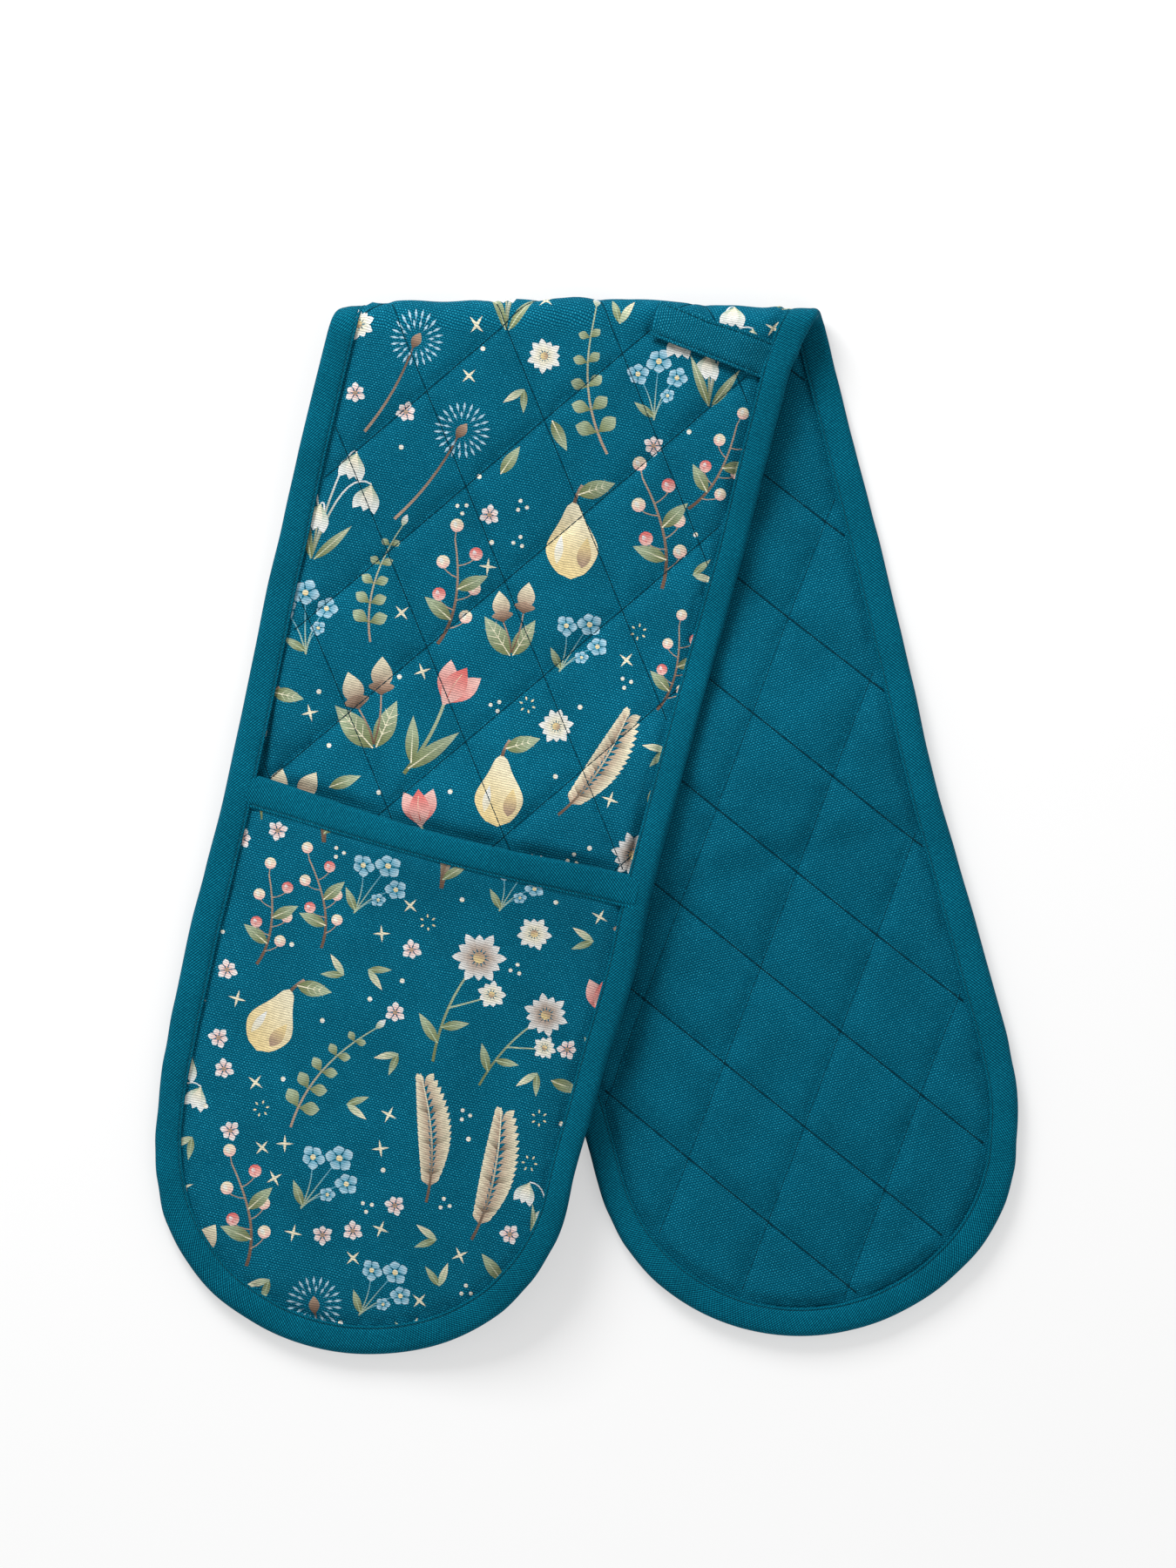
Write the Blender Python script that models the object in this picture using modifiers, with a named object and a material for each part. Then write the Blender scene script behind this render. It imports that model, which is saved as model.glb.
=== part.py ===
"""Double oven glove, folded in half and lying flat on a table.

Metres, +Z up, z = 0 is the table. The fold lies along X at the +Y end. The rear leg lies printed side
down on the table, the front leg lies on it printed side up, and both hand ends point to -Y.

Every fabric layer is drawn flat first, in the pattern of the unfolded strip: a runs across the strip,
s runs along it from the crest of the fold (front leg positive, rear leg negative), and n is the height
above the middle of the quilted body, towards the printed side. place() then folds a pattern point.
"""

import math

import bmesh
import bpy
from mathutils import Vector

# Flat strip
MIDDLE_HALF_WIDTH = 0.0949
HAND_HALF_WIDTH = 0.0895
PARALLEL_LENGTH = 0.0900
FRONT_LENGTH = 0.4470
REAR_LENGTH = 0.4420
FOLD_ANGLE = math.radians(14.6)

# Quilted body
COVER_THICKNESS = 0.0008
BACKING_THICKNESS = 0.0008
WADDING_THICKNESS = 0.0046
WADDING_SEWN_THICKNESS = 0.0010
LAYER_GAP = 0.0003
QUILT_LENGTH = 0.0682
QUILT_WIDTH = 0.0498
QUILT_START_ACROSS = 0.0006
QUILT_START_ALONG = 0.0530
PUFF_RUN = 0.0140
UNDER_POCKET_PUFF_SHARE = 0.45

# Binding tape
TAPE_THICKNESS = 0.0008
TAPE_GAP = 0.0005
BINDING_WIDTH = 0.0104
BINDING_SHOULDER = 0.0006
SEWN_MARGIN = 0.0110

# Hand pockets
POCKET_DEPTH = 0.2225
LINING_THICKNESS = 0.0005
POCKET_WADDING_THICKNESS = 0.0012
POCKET_WADDING_SEWN_THICKNESS = 0.0005
POCKET_COVER_THICKNESS = 0.0007
POCKET_SEAM_GAP = 0.0006
FRONT_MOUTH_GAPE = 0.0068
REAR_MOUTH_GAPE = 0.0052
HAND_END_GAPE = 0.0042
GAPE_RUN = 0.0550
POCKET_FLAT_RUN = 0.0200
MOUTH_BINDING_WIDTH = 0.0140
MOUTH_TAPE_GAP = 0.0007

# Fold and drape
FOLD_INNER_RADIUS = 0.0050
FOLD_FADE = 0.0250
FOLD_PUFF_SHARE = 0.6
REST_CUT = 0.0005
LEG_GAP = 0.0020
DRAPE_START = 0.0100
DRAPE_RUN = 0.1100
FOLD_OPENING_RUN = 0.1100
RISE_RUN = 0.0700
RISE_LEAD = 0.0080
SEAM_GAP = 0.0003

# Hanging loop
LOOP_WIDTH = 0.0145
LOOP_LENGTH = 0.0484
LOOP_START_ALONG = 0.0055
LOOP_SLANT = math.radians(5.8)
LOOP_TAPE_THICKNESS = 0.0008
LOOP_GAPE = 0.0044
LOOP_ROOT_LENGTH = 0.0120
LOOP_END_GAP = 0.0003
LOOP_PIVOT_LIFT = 0.0022

# Mesh fineness
SIDE_STEP = 0.0300
POCKET_STEP = 0.0215
ARC_STEPS = 14
BEND_STEPS = 8

# Values that follow from the ones above
BODY_HALF = (COVER_THICKNESS + BACKING_THICKNESS + WADDING_THICKNESS) / 2 + LAYER_GAP
SEWN_HALF = (COVER_THICKNESS + BACKING_THICKNESS + WADDING_SEWN_THICKNESS) / 2 + LAYER_GAP
CUT_INSET = TAPE_THICKNESS + TAPE_GAP
QUILT_ANGLE = math.atan2(QUILT_WIDTH, QUILT_LENGTH)
QUILT_PITCH = QUILT_WIDTH * math.cos(QUILT_ANGLE)
POCKET_SEAM_STACK = (
    POCKET_SEAM_GAP
    + LINING_THICKNESS
    + POCKET_WADDING_SEWN_THICKNESS
    + POCKET_COVER_THICKNESS
    + 2 * LAYER_GAP
)
FRONT_MOUTH = FRONT_LENGTH - POCKET_DEPTH
REAR_MOUTH = REAR_LENGTH - POCKET_DEPTH
FOLD_RADIUS = FOLD_INNER_RADIUS + BODY_HALF
BEND_HALF_RUN = FOLD_RADIUS * math.pi / 2
TABLE_HEIGHT = BODY_HALF - REST_CUT
CREST_HEIGHT = TABLE_HEIGHT + 2 * FOLD_RADIUS
PANEL_SEAM_HEIGHT = TAPE_THICKNESS + MOUTH_TAPE_GAP
BINDING_HALF = SEWN_HALF + TAPE_GAP + TAPE_THICKNESS

# The origin is the middle of the whole outline, on the table
OUTLINE_TOP = FOLD_RADIUS + BINDING_HALF
OUTLINE_BOTTOM = (FRONT_LENGTH - HAND_HALF_WIDTH) * math.cos(FOLD_ANGLE) - BEND_HALF_RUN + HAND_HALF_WIDTH
TANGENT_Y = (OUTLINE_BOTTOM - OUTLINE_TOP) / 2
CREST_X = (FRONT_LENGTH - REAR_LENGTH) * math.sin(FOLD_ANGLE) / 2

# Hinge lines of the fold. Two quarter turns about them keep the strip's length round the bend.
HINGE_OUT_SHARE = 0.785
HINGE_IN_SHARE = HINGE_OUT_SHARE - (math.pi / 2 - 1)
HINGE_Y = TANGENT_Y + HINGE_OUT_SHARE * FOLD_RADIUS
LOWER_HINGE_HEIGHT = TABLE_HEIGHT + HINGE_IN_SHARE * FOLD_RADIUS
UPPER_HINGE_HEIGHT = CREST_HEIGHT - HINGE_IN_SHARE * FOLD_RADIUS

TEAL_PRINT = (0.010, 0.118, 0.158, 1.0)
TEAL_PLAIN = (0.006, 0.100, 0.140, 1.0)
TEAL_TAPE = (0.006, 0.092, 0.124, 1.0)
WADDING_WHITE = (0.80, 0.79, 0.75, 1.0)
LINING_CREAM = (0.62, 0.58, 0.48, 1.0)


def smooth(t):
    """0 up to t = 0, 1 from t = 1, with an easy start and end."""
    t = min(max(t, 0.0), 1.0)
    return t * t * (3 - 2 * t)


def swell(t):
    """0 at t = 0, rising steeply and levelling out at 1 from t = 1."""
    return math.sin(math.pi / 2 * min(max(t, 0.0), 1.0))


# The strip's flat pattern


def leg_length(s):
    return FRONT_LENGTH if s > 0 else REAR_LENGTH


def mouth_of(s):
    return FRONT_MOUTH if s > 0 else REAR_MOUTH


def half_width(s):
    """Half the finished width at s, up to where the round hand end starts."""
    taper = (abs(s) - PARALLEL_LENGTH) / (leg_length(s) - HAND_HALF_WIDTH - PARALLEL_LENGTH)
    taper = min(max(taper, 0.0), 1.0)
    return MIDDLE_HALF_WIDTH + (HAND_HALF_WIDTH - MIDDLE_HALF_WIDTH) * (1 - (1 - taper) ** 2)


def edge_distance(a, s):
    """How far a pattern point lies inside the finished edge, negative outside it."""
    past_centre = abs(s) - (leg_length(s) - HAND_HALF_WIDTH)
    if past_centre > 0:
        return HAND_HALF_WIDTH - math.hypot(a, past_centre)
    return half_width(s) - abs(a)


def inside_seam(a, s):
    """How far a pattern point lies inside the line where the binding's edge is sewn."""
    return edge_distance(a, s) - CUT_INSET - SEWN_MARGIN


def side_stations(length, mouth):
    """Values of s along one side of one leg, from the crest to the start of the round end."""
    keys = [
        0.0,
        PARALLEL_LENGTH,
        mouth - RISE_LEAD - RISE_RUN / 2,
        mouth - RISE_LEAD,
        mouth,
        mouth + MOUTH_BINDING_WIDTH,
        mouth + MOUTH_BINDING_WIDTH + POCKET_FLAT_RUN,
        length - HAND_HALF_WIDTH,
    ]
    stations = [0.0]
    for start, end in zip(keys, keys[1:]):
        steps = max(1, math.ceil((end - start) / SIDE_STEP))
        stations += [start + (end - start) * step / steps for step in range(1, steps + 1)]
    return stations


def leg_outline(sign, inset):
    """One leg's outline as (a, s, inward a, inward s), from the right side at the crest to the left."""
    length = leg_length(sign)
    side = side_stations(length, mouth_of(sign))
    points = [(half_width(sign * s) - inset, sign * s, -1.0, 0.0) for s in side]
    for step in range(1, ARC_STEPS):
        turn = math.pi * step / ARC_STEPS
        across, along = math.cos(turn), math.sin(turn)
        radius = HAND_HALF_WIDTH - inset
        centre = length - HAND_HALF_WIDTH
        points.append((radius * across, sign * (centre + radius * along), -across, -sign * along))
    points += [(inset - half_width(sign * s), sign * s, 1.0, 0.0) for s in reversed(side)]
    return points


def strip_outline(inset):
    """The whole strip's outline: up the front leg's right side, round its end, and back by the rear leg."""
    front = leg_outline(1, inset)
    rear = leg_outline(-1, inset)
    return front + rear[::-1][1:-1]


def fold_run(a, s):
    """Distance of a pattern point from the crest of the fold, square to the fold."""
    return a * math.sin(FOLD_ANGLE) + s * math.cos(FOLD_ANGLE)


# Thickness of the layers


def quilt_puff(a, s):
    """0 on a line of quilting, 1 in the middle of a lozenge."""
    across = (a - QUILT_START_ACROSS) * math.cos(QUILT_ANGLE)
    along = (s - QUILT_START_ALONG) * math.sin(QUILT_ANGLE)
    nearest = min(
        abs(line - QUILT_PITCH * round(line / QUILT_PITCH))
        for line in (across - along, across + along)
    )
    return swell(nearest / PUFF_RUN)


def body_puff(a, s):
    """Share of full loft at a pattern point: none at seams, level round the fold."""
    fold = 1 - smooth((abs(fold_run(a, s)) - BEND_HALF_RUN) / FOLD_FADE)
    puff = quilt_puff(a, s)
    puff += (FOLD_PUFF_SHARE - puff) * fold
    return puff * swell(inside_seam(a, s) / PUFF_RUN)


def printed_side(a, s):
    """Height of the cover's printed face. The pocket presses the quilting under it flatter."""
    covered = smooth((abs(s) - mouth_of(s) + PUFF_RUN) / PUFF_RUN)
    loft = (BODY_HALF - SEWN_HALF) * (1 - (1 - UNDER_POCKET_PUFF_SHARE) * covered)
    return SEWN_HALF + loft * body_puff(a, s)


def backing_side(a, s):
    return SEWN_HALF + (BODY_HALF - SEWN_HALF) * body_puff(a, s)


def mouth_lift(s):
    """Room under the pocket for the tape that is folded over its mouth."""
    behind_tape = abs(s) - mouth_of(s) - MOUTH_BINDING_WIDTH
    return (TAPE_THICKNESS + MOUTH_TAPE_GAP) * (1 - smooth(behind_tape / POCKET_FLAT_RUN))


def pocket_gape(s):
    """Height of the hand space in the middle of a pocket, least at the hand end."""
    deep = (abs(s) - mouth_of(s)) / (POCKET_DEPTH - HAND_HALF_WIDTH / 2)
    mouth_gape = FRONT_MOUTH_GAPE if s > 0 else REAR_MOUTH_GAPE
    return mouth_gape + (HAND_END_GAPE - mouth_gape) * smooth(deep)


def lining_face(a, s):
    """Height of the pocket lining's face towards the hand."""
    inside = inside_seam(a, s)
    clear_puffs = (BODY_HALF - SEWN_HALF) * UNDER_POCKET_PUFF_SHARE * swell(inside / PUFF_RUN)
    seam = SEWN_HALF + POCKET_SEAM_GAP + mouth_lift(s)
    return seam + clear_puffs + pocket_gape(s) * smooth(inside / GAPE_RUN)


def pocket_wadding_thickness(a, s):
    loft = POCKET_WADDING_THICKNESS - POCKET_WADDING_SEWN_THICKNESS
    return POCKET_WADDING_SEWN_THICKNESS + loft * smooth(inside_seam(a, s) / POCKET_FLAT_RUN)


def pocket_face(a, s):
    """Height of the pocket's printed face."""
    layers = LINING_THICKNESS + POCKET_COVER_THICKNESS + 2 * LAYER_GAP
    return lining_face(a, s) + layers + pocket_wadding_thickness(a, s)


def layer_heights(layer, a, s):
    """Lower and upper face of a layer, as heights n."""
    if layer == "cover":
        top = printed_side(a, s)
        return top - COVER_THICKNESS, top
    if layer == "wadding":
        low = LAYER_GAP + BACKING_THICKNESS - backing_side(a, s)
        return low, printed_side(a, s) - COVER_THICKNESS - LAYER_GAP
    if layer == "backing":
        low = -backing_side(a, s)
        return low, low + BACKING_THICKNESS
    if layer == "lining":
        low = lining_face(a, s)
        return low, low + LINING_THICKNESS
    top = pocket_face(a, s)
    if layer == "pocket_cover":
        return top - POCKET_COVER_THICKNESS, top
    top -= POCKET_COVER_THICKNESS + LAYER_GAP
    return top - pocket_wadding_thickness(a, s), top


# Folding the pattern


def panel_height(a, s):
    """Height above the table of the rear pocket's printed face, which lies on the table."""
    behind_mouth = abs(s) - REAR_MOUTH - MOUTH_BINDING_WIDTH
    sunk = smooth(inside_seam(a, s) / POCKET_FLAT_RUN) * smooth(behind_mouth / POCKET_FLAT_RUN)
    return max(0.0, PANEL_SEAM_HEIGHT - (PANEL_SEAM_HEIGHT + REST_CUT) * sunk)


def rear_climb(s):
    """0 where the rear leg lies on the table, 1 where it lies on its own pocket."""
    return smooth((abs(s) - REAR_MOUTH + RISE_LEAD + RISE_RUN) / RISE_RUN)


def rear_height(a, s):
    """Height of the rear leg's middle layer."""
    s_on_pocket = -max(abs(s), REAR_MOUTH)
    on_pocket = panel_height(a, s_on_pocket) + pocket_face(a, s_on_pocket)
    return TABLE_HEIGHT + rear_climb(s) * (on_pocket - TABLE_HEIGHT)


def rear_ridge(s):
    """Height of the rear leg's middle layer along its middle, smoothed over the pocket's mouth."""
    top = rear_height(0.0, -REAR_MOUTH) - pocket_gape(-REAR_MOUTH) + pocket_gape(-max(abs(s), REAR_MOUTH))
    return TABLE_HEIGHT + rear_climb(s) * (top - TABLE_HEIGHT)


def front_height(x, y):
    """Height of the front leg's middle layer: it lies on the rear leg and falls to the table beside it."""
    run = TANGENT_Y - y + BEND_HALF_RUN
    a = (x - CREST_X) * math.cos(FOLD_ANGLE) - run * math.sin(FOLD_ANGLE)
    s = -(x - CREST_X) * math.sin(FOLD_ANGLE) - run * math.cos(FOLD_ANGLE)
    stack = LEG_GAP + 2 * BODY_HALF
    held = 1 - smooth((-edge_distance(a, s) - DRAPE_START) / DRAPE_RUN)
    resting = TABLE_HEIGHT + held * (rear_ridge(s) + stack - TABLE_HEIGHT)
    opening = 2 * FOLD_RADIUS - stack
    return resting + opening * (1 - smooth((TANGENT_Y - y) / FOLD_OPENING_RUN))


def place(a, s, n):
    """World position of a pattern point."""
    x = CREST_X + a * math.cos(FOLD_ANGLE) - s * math.sin(FOLD_ANGLE)
    run = fold_run(a, s)
    if abs(run) < BEND_HALF_RUN:
        turn = run / FOLD_RADIUS
        y = TANGENT_Y + (FOLD_RADIUS + n) * math.cos(turn)
        return Vector((x, y, TABLE_HEIGHT + FOLD_RADIUS + (FOLD_RADIUS + n) * math.sin(turn)))
    y = TANGENT_Y - (abs(run) - BEND_HALF_RUN)
    if run > 0:
        return Vector((x, y, front_height(x, y) + n))
    return Vector((x, y, rear_height(a, s) - n))


# Cutting flat meshes


def faces_with_edges(faces):
    edges = {edge for face in faces for edge in face.edges}
    verts = {vert for face in faces for vert in face.verts}
    return list(verts) + list(edges) + list(faces)


def inner_faces(bm):
    return [face for face in bm.faces if face.material_index]


def cut_line(bm, faces, point, normal, clear_beyond=False):
    """Cut faces along a straight line of the pattern, and drop what lies beyond it if asked."""
    bmesh.ops.bisect_plane(
        bm,
        geom=faces_with_edges(faces),
        plane_co=point,
        plane_no=normal,
        clear_outer=clear_beyond,
    )


def fold_line(run):
    """A point and a normal of the line that lies a given distance from the crest."""
    normal = Vector((math.sin(FOLD_ANGLE), math.cos(FOLD_ANGLE), 0.0))
    return normal * run, normal


def keep_stretch(bm, part, cap):
    """Keep one leg or the fold, cutting square to the fold with half the seam's gap on each side."""
    limit = BEND_HALF_RUN + SEAM_GAP / 2
    if part == "front":
        sides = [(-limit, -1)]
    elif part == "rear":
        sides = [(limit, 1)]
    else:
        limit = BEND_HALF_RUN - SEAM_GAP / 2
        sides = [(limit, 1), (limit, -1)]
    for run, sign in sides:
        point, normal = fold_line(abs(run) * sign * (1 if part == "fold" else -1))
        cut_line(bm, bm.faces, point, normal * sign, clear_beyond=True)
        if cap:
            bmesh.ops.holes_fill(bm, edges=[edge for edge in bm.edges if edge.is_boundary])


def flat_strip(part):
    """The strip's outline with its sewn margin marked off, cut down to one leg or the fold."""
    bm = bmesh.new()
    middle = bm.faces.new([bm.verts.new((a, s, 0.0)) for a, s, _, _ in strip_outline(CUT_INSET)])
    middle.normal_update()
    bmesh.ops.inset_region(
        bm, faces=[middle], thickness=SEWN_MARGIN, use_boundary=True, use_even_offset=True
    )
    middle.material_index = 1
    if part:
        keep_stretch(bm, part, cap=False)
    return bm


def quilted_leg(part):
    """A leg's pattern, cut along the quilting with a puff in each lozenge."""
    bm = flat_strip(part)
    sign = 1 if part == "front" else -1
    mouth = sign * mouth_of(sign)
    for s in (mouth, mouth - sign * (RISE_LEAD + RISE_RUN / 2)):
        cut_line(bm, inner_faces(bm), (0.0, s, 0.0), (0.0, 1.0, 0.0))
    reach = (leg_length(sign) + MIDDLE_HALF_WIDTH) / QUILT_PITCH
    start = Vector((QUILT_START_ACROSS, QUILT_START_ALONG, 0.0))
    for lean in (1, -1):
        normal = Vector((math.cos(QUILT_ANGLE), lean * math.sin(QUILT_ANGLE), 0.0))
        for line in range(-math.ceil(reach), math.ceil(reach) + 1):
            cut_line(bm, inner_faces(bm), start + normal * QUILT_PITCH * line, normal)
    bmesh.ops.poke(bm, faces=inner_faces(bm), center_mode="MEAN")
    return bm


def plain_fold():
    """The fold's pattern, cut into narrow strips along the crest so that it bends smoothly."""
    bm = flat_strip("fold")
    for step in range(1, BEND_STEPS):
        run = BEND_HALF_RUN * (2 * step / BEND_STEPS - 1)
        cut_line(bm, bm.faces, *fold_line(run))
    full = MIDDLE_HALF_WIDTH - CUT_INSET - SEWN_MARGIN - PUFF_RUN
    for a in (-full, full):
        cut_line(bm, inner_faces(bm), (a, 0.0, 0.0), (1.0, 0.0, 0.0))
    return bm


def pocket_columns():
    """Values of a where a pocket is cut lengthwise, with its two sewn sides left out."""
    columns = math.floor((HAND_HALF_WIDTH - CUT_INSET - SEWN_MARGIN) / POCKET_STEP)
    return [POCKET_STEP * column for column in range(-columns, columns + 1)]


def pocket_panel(sign):
    """A pocket's pattern, from its mouth to the round end, in a plain grid."""
    bm = flat_strip(None)
    mouth = sign * mouth_of(sign)
    cut_line(bm, bm.faces, (0.0, mouth, 0.0), (0.0, -sign, 0.0), clear_beyond=True)
    rows = math.floor((POCKET_DEPTH - MOUTH_BINDING_WIDTH - CUT_INSET - SEWN_MARGIN) / POCKET_STEP)
    for row in range(rows):
        s = mouth + sign * (MOUTH_BINDING_WIDTH + POCKET_STEP * row)
        cut_line(bm, inner_faces(bm), (0.0, s, 0.0), (0.0, 1.0, 0.0))
    for a in pocket_columns():
        cut_line(bm, inner_faces(bm), (a, 0.0, 0.0), (1.0, 0.0, 0.0))
    return bm


def layer_mesh(pattern, layer):
    """Give a flat pattern its two faces and fold it. The pattern itself is left as it is."""
    bm = pattern.copy()
    bmesh.ops.triangulate(bm, faces=bm.faces)
    upper = bmesh.ops.extrude_face_region(bm, geom=bm.faces[:], use_keep_orig=True)
    raised = {item for item in upper["geom"] if isinstance(item, bmesh.types.BMVert)}
    for vert in bm.verts:
        a, s, _ = vert.co
        low, high = layer_heights(layer, a, s)
        vert.co = place(a, s, high if vert in raised else low)
    return bm


def rest_flat(bm):
    """Cut a solid off at the table."""
    bmesh.ops.bisect_plane(
        bm,
        geom=bm.verts[:] + bm.edges[:] + bm.faces[:],
        plane_co=(0.0, 0.0, 0.0),
        plane_no=(0.0, 0.0, -1.0),
        clear_outer=True,
    )
    bmesh.ops.holes_fill(bm, edges=[edge for edge in bm.edges if edge.is_boundary])


# Binding tape


def folded_tape(width, gap, low, high):
    """Section of a tape folded over an edge: (distance inward from the edge, height n) round the tape."""
    section = []
    for offset in (gap + TAPE_THICKNESS, gap):
        shoulder = min(BINDING_SHOULDER, (high - low) / 2)
        top, bottom = high + offset - gap, low - offset + gap
        side = [(width, top), (shoulder, top), (-offset, top - shoulder)]
        side += [(-offset, bottom + shoulder), (shoulder, bottom), (width, bottom)]
        section += side if not section else side[::-1]
    return section


def join_sections(bm, rings, closed):
    """Faces between neighbouring rings of points, and end caps if the row of rings is open."""
    pairs = list(zip(rings, rings[1:]))
    if closed:
        pairs.append((rings[-1], rings[0]))
    for ring, following in pairs:
        for corner in range(len(ring)):
            after = (corner + 1) % len(ring)
            bm.faces.new([ring[corner], ring[after], following[after], following[corner]])
    if not closed:
        bm.faces.new(rings[0])
        bm.faces.new(rings[-1])


def binding_top(s):
    """Height of the edge's stack under the tape, which is thicker from the pocket's mouth on."""
    start = mouth_of(s) - RISE_LEAD - RISE_RUN / 2
    climb = smooth((abs(s) - start) / (RISE_RUN / 2))
    return SEWN_HALF + TAPE_GAP + (POCKET_SEAM_STACK + mouth_lift(s)) * climb


def edge_binding(part, side=0):
    """The tape round the strip's edge, cut down to one leg or to one side of the fold."""
    bm = bmesh.new()
    rings = []
    for a, s, in_a, in_s in strip_outline(CUT_INSET):
        section = folded_tape(BINDING_WIDTH, TAPE_GAP, -SEWN_HALF - TAPE_GAP, binding_top(s))
        rings.append([bm.verts.new((a + in_a * d, s + in_s * d, n)) for d, n in section])
    join_sections(bm, rings, closed=True)
    keep_stretch(bm, part, cap=True)
    if part == "fold":
        for step in range(1, BEND_STEPS):
            run = BEND_HALF_RUN * (2 * step / BEND_STEPS - 1)
            cut_line(bm, bm.faces, *fold_line(run))
        other = [vert for vert in bm.verts if vert.co.x * side < 0]
        bmesh.ops.delete(bm, geom=other, context="VERTS")
    for vert in bm.verts:
        vert.co = place(*vert.co)
    return bm


def mouth_binding(sign):
    """The tape folded over a pocket's mouth, between the two side bindings."""
    bm = bmesh.new()
    mouth = sign * mouth_of(sign)
    end = half_width(mouth) - CUT_INSET - SEWN_MARGIN
    deep = sign * (mouth_of(sign) + MOUTH_BINDING_WIDTH)
    rings = []
    for a in [-end] + pocket_columns() + [end]:
        edge, back = (
            folded_tape(
                MOUTH_BINDING_WIDTH,
                MOUTH_TAPE_GAP,
                lining_face(a, s) - MOUTH_TAPE_GAP,
                pocket_face(a, s) + MOUTH_TAPE_GAP,
            )
            for s in (mouth, deep)
        )
        ring = []
        for (d, n), (_, n_back) in zip(edge, back):
            share = max(0.0, d / MOUTH_BINDING_WIDTH)
            height = n + (n_back - n) * share
            ring.append(bm.verts.new(place(a, mouth + sign * d, height)))
        rings.append(ring)
    join_sections(bm, rings, closed=False)
    return bm


# Hanging loop


def loop_frame():
    """Pivot point, direction of the loop away from the binding, and direction along the binding."""
    along = Vector((-math.sin(FOLD_ANGLE), -math.cos(FOLD_ANGLE), 0.0))
    lean = FOLD_ANGLE + LOOP_SLANT
    away = Vector((-math.cos(lean), math.sin(lean), 0.0))
    inner_edge = half_width(LOOP_START_ALONG) - CUT_INSET - BINDING_WIDTH
    pivot = place(inner_edge - LOOP_END_GAP, LOOP_START_ALONG, SEWN_HALF + LOOP_PIVOT_LIFT)
    return pivot, away, along


def loop_path():
    """Side view of the loop: out along the fabric, round the far end and back, as (reach, rise)."""
    layer = (LOOP_TAPE_THICKNESS + LAYER_GAP) / 2
    lower = BODY_HALF - SEWN_HALF - LOOP_PIVOT_LIFT + LAYER_GAP + LOOP_TAPE_THICKNESS / 2
    upper = lower + LOOP_TAPE_THICKNESS + LOOP_GAPE
    radius = (upper - lower) / 2
    turn_at = LOOP_LENGTH - radius - LOOP_TAPE_THICKNESS / 2
    path = [(0.0, -layer)]
    path += [(LOOP_ROOT_LENGTH, lower), ((LOOP_ROOT_LENGTH + turn_at) / 2, lower), (turn_at, lower)]
    for step in range(1, BEND_STEPS):
        turn = math.pi * step / BEND_STEPS
        path.append((turn_at + radius * math.sin(turn), (lower + upper) / 2 - radius * math.cos(turn)))
    path += [(turn_at, upper), ((LOOP_ROOT_LENGTH + turn_at) / 2, upper), (LOOP_ROOT_LENGTH, upper)]
    path.append((0.0, layer))
    return path


def hanging_loop():
    pivot, away, along = loop_frame()
    bm = bmesh.new()
    row = []
    for reach, rise in loop_path():
        start = pivot + away * reach + Vector((0.0, 0.0, rise))
        row.append(bm.verts.new(start - along * LOOP_WIDTH / 2))
    edges = [bm.edges.new(pair) for pair in zip(row, row[1:])]
    swept = bmesh.ops.extrude_edge_only(bm, edges=edges)
    verts = [item for item in swept["geom"] if isinstance(item, bmesh.types.BMVert)]
    bmesh.ops.translate(bm, verts=verts, vec=along * LOOP_WIDTH)
    return bm


# Objects


def material(name, colour, roughness):
    made = bpy.data.materials.new(name)
    made.use_nodes = True
    shader = made.node_tree.nodes["Principled BSDF"]
    shader.inputs["Base Color"].default_value = colour
    shader.inputs["Roughness"].default_value = roughness
    shader.inputs["Metallic"].default_value = 0.0
    made.diffuse_color = colour
    return made


def add_empty(name, location, parent, collection):
    empty = bpy.data.objects.new(name, None)
    empty.parent = parent
    empty.location = location - (world_place(parent) if parent else Vector())
    collection.objects.link(empty)
    return empty


def world_place(obj):
    place_sum = Vector()
    while obj:
        place_sum += obj.location
        obj = obj.parent
    return place_sum


def add_part(name, bm, finish, parent, collection):
    """Make an object whose origin is its parent's, from points in world space."""
    bmesh.ops.recalc_face_normals(bm, faces=bm.faces)
    if bm.calc_volume(signed=True) < 0:
        bmesh.ops.reverse_faces(bm, faces=bm.faces)
    bmesh.ops.translate(bm, verts=bm.verts, vec=-world_place(parent))
    mesh = bpy.data.meshes.new(name)
    for face in bm.faces:
        face.material_index = 0
    bm.to_mesh(mesh)
    bm.free()
    mesh.materials.append(finish)
    mesh.shade_smooth()
    mesh.set_sharp_from_angle(angle=math.radians(40))
    obj = bpy.data.objects.new(name, mesh)
    obj.parent = parent
    collection.objects.link(obj)
    return obj


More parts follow.
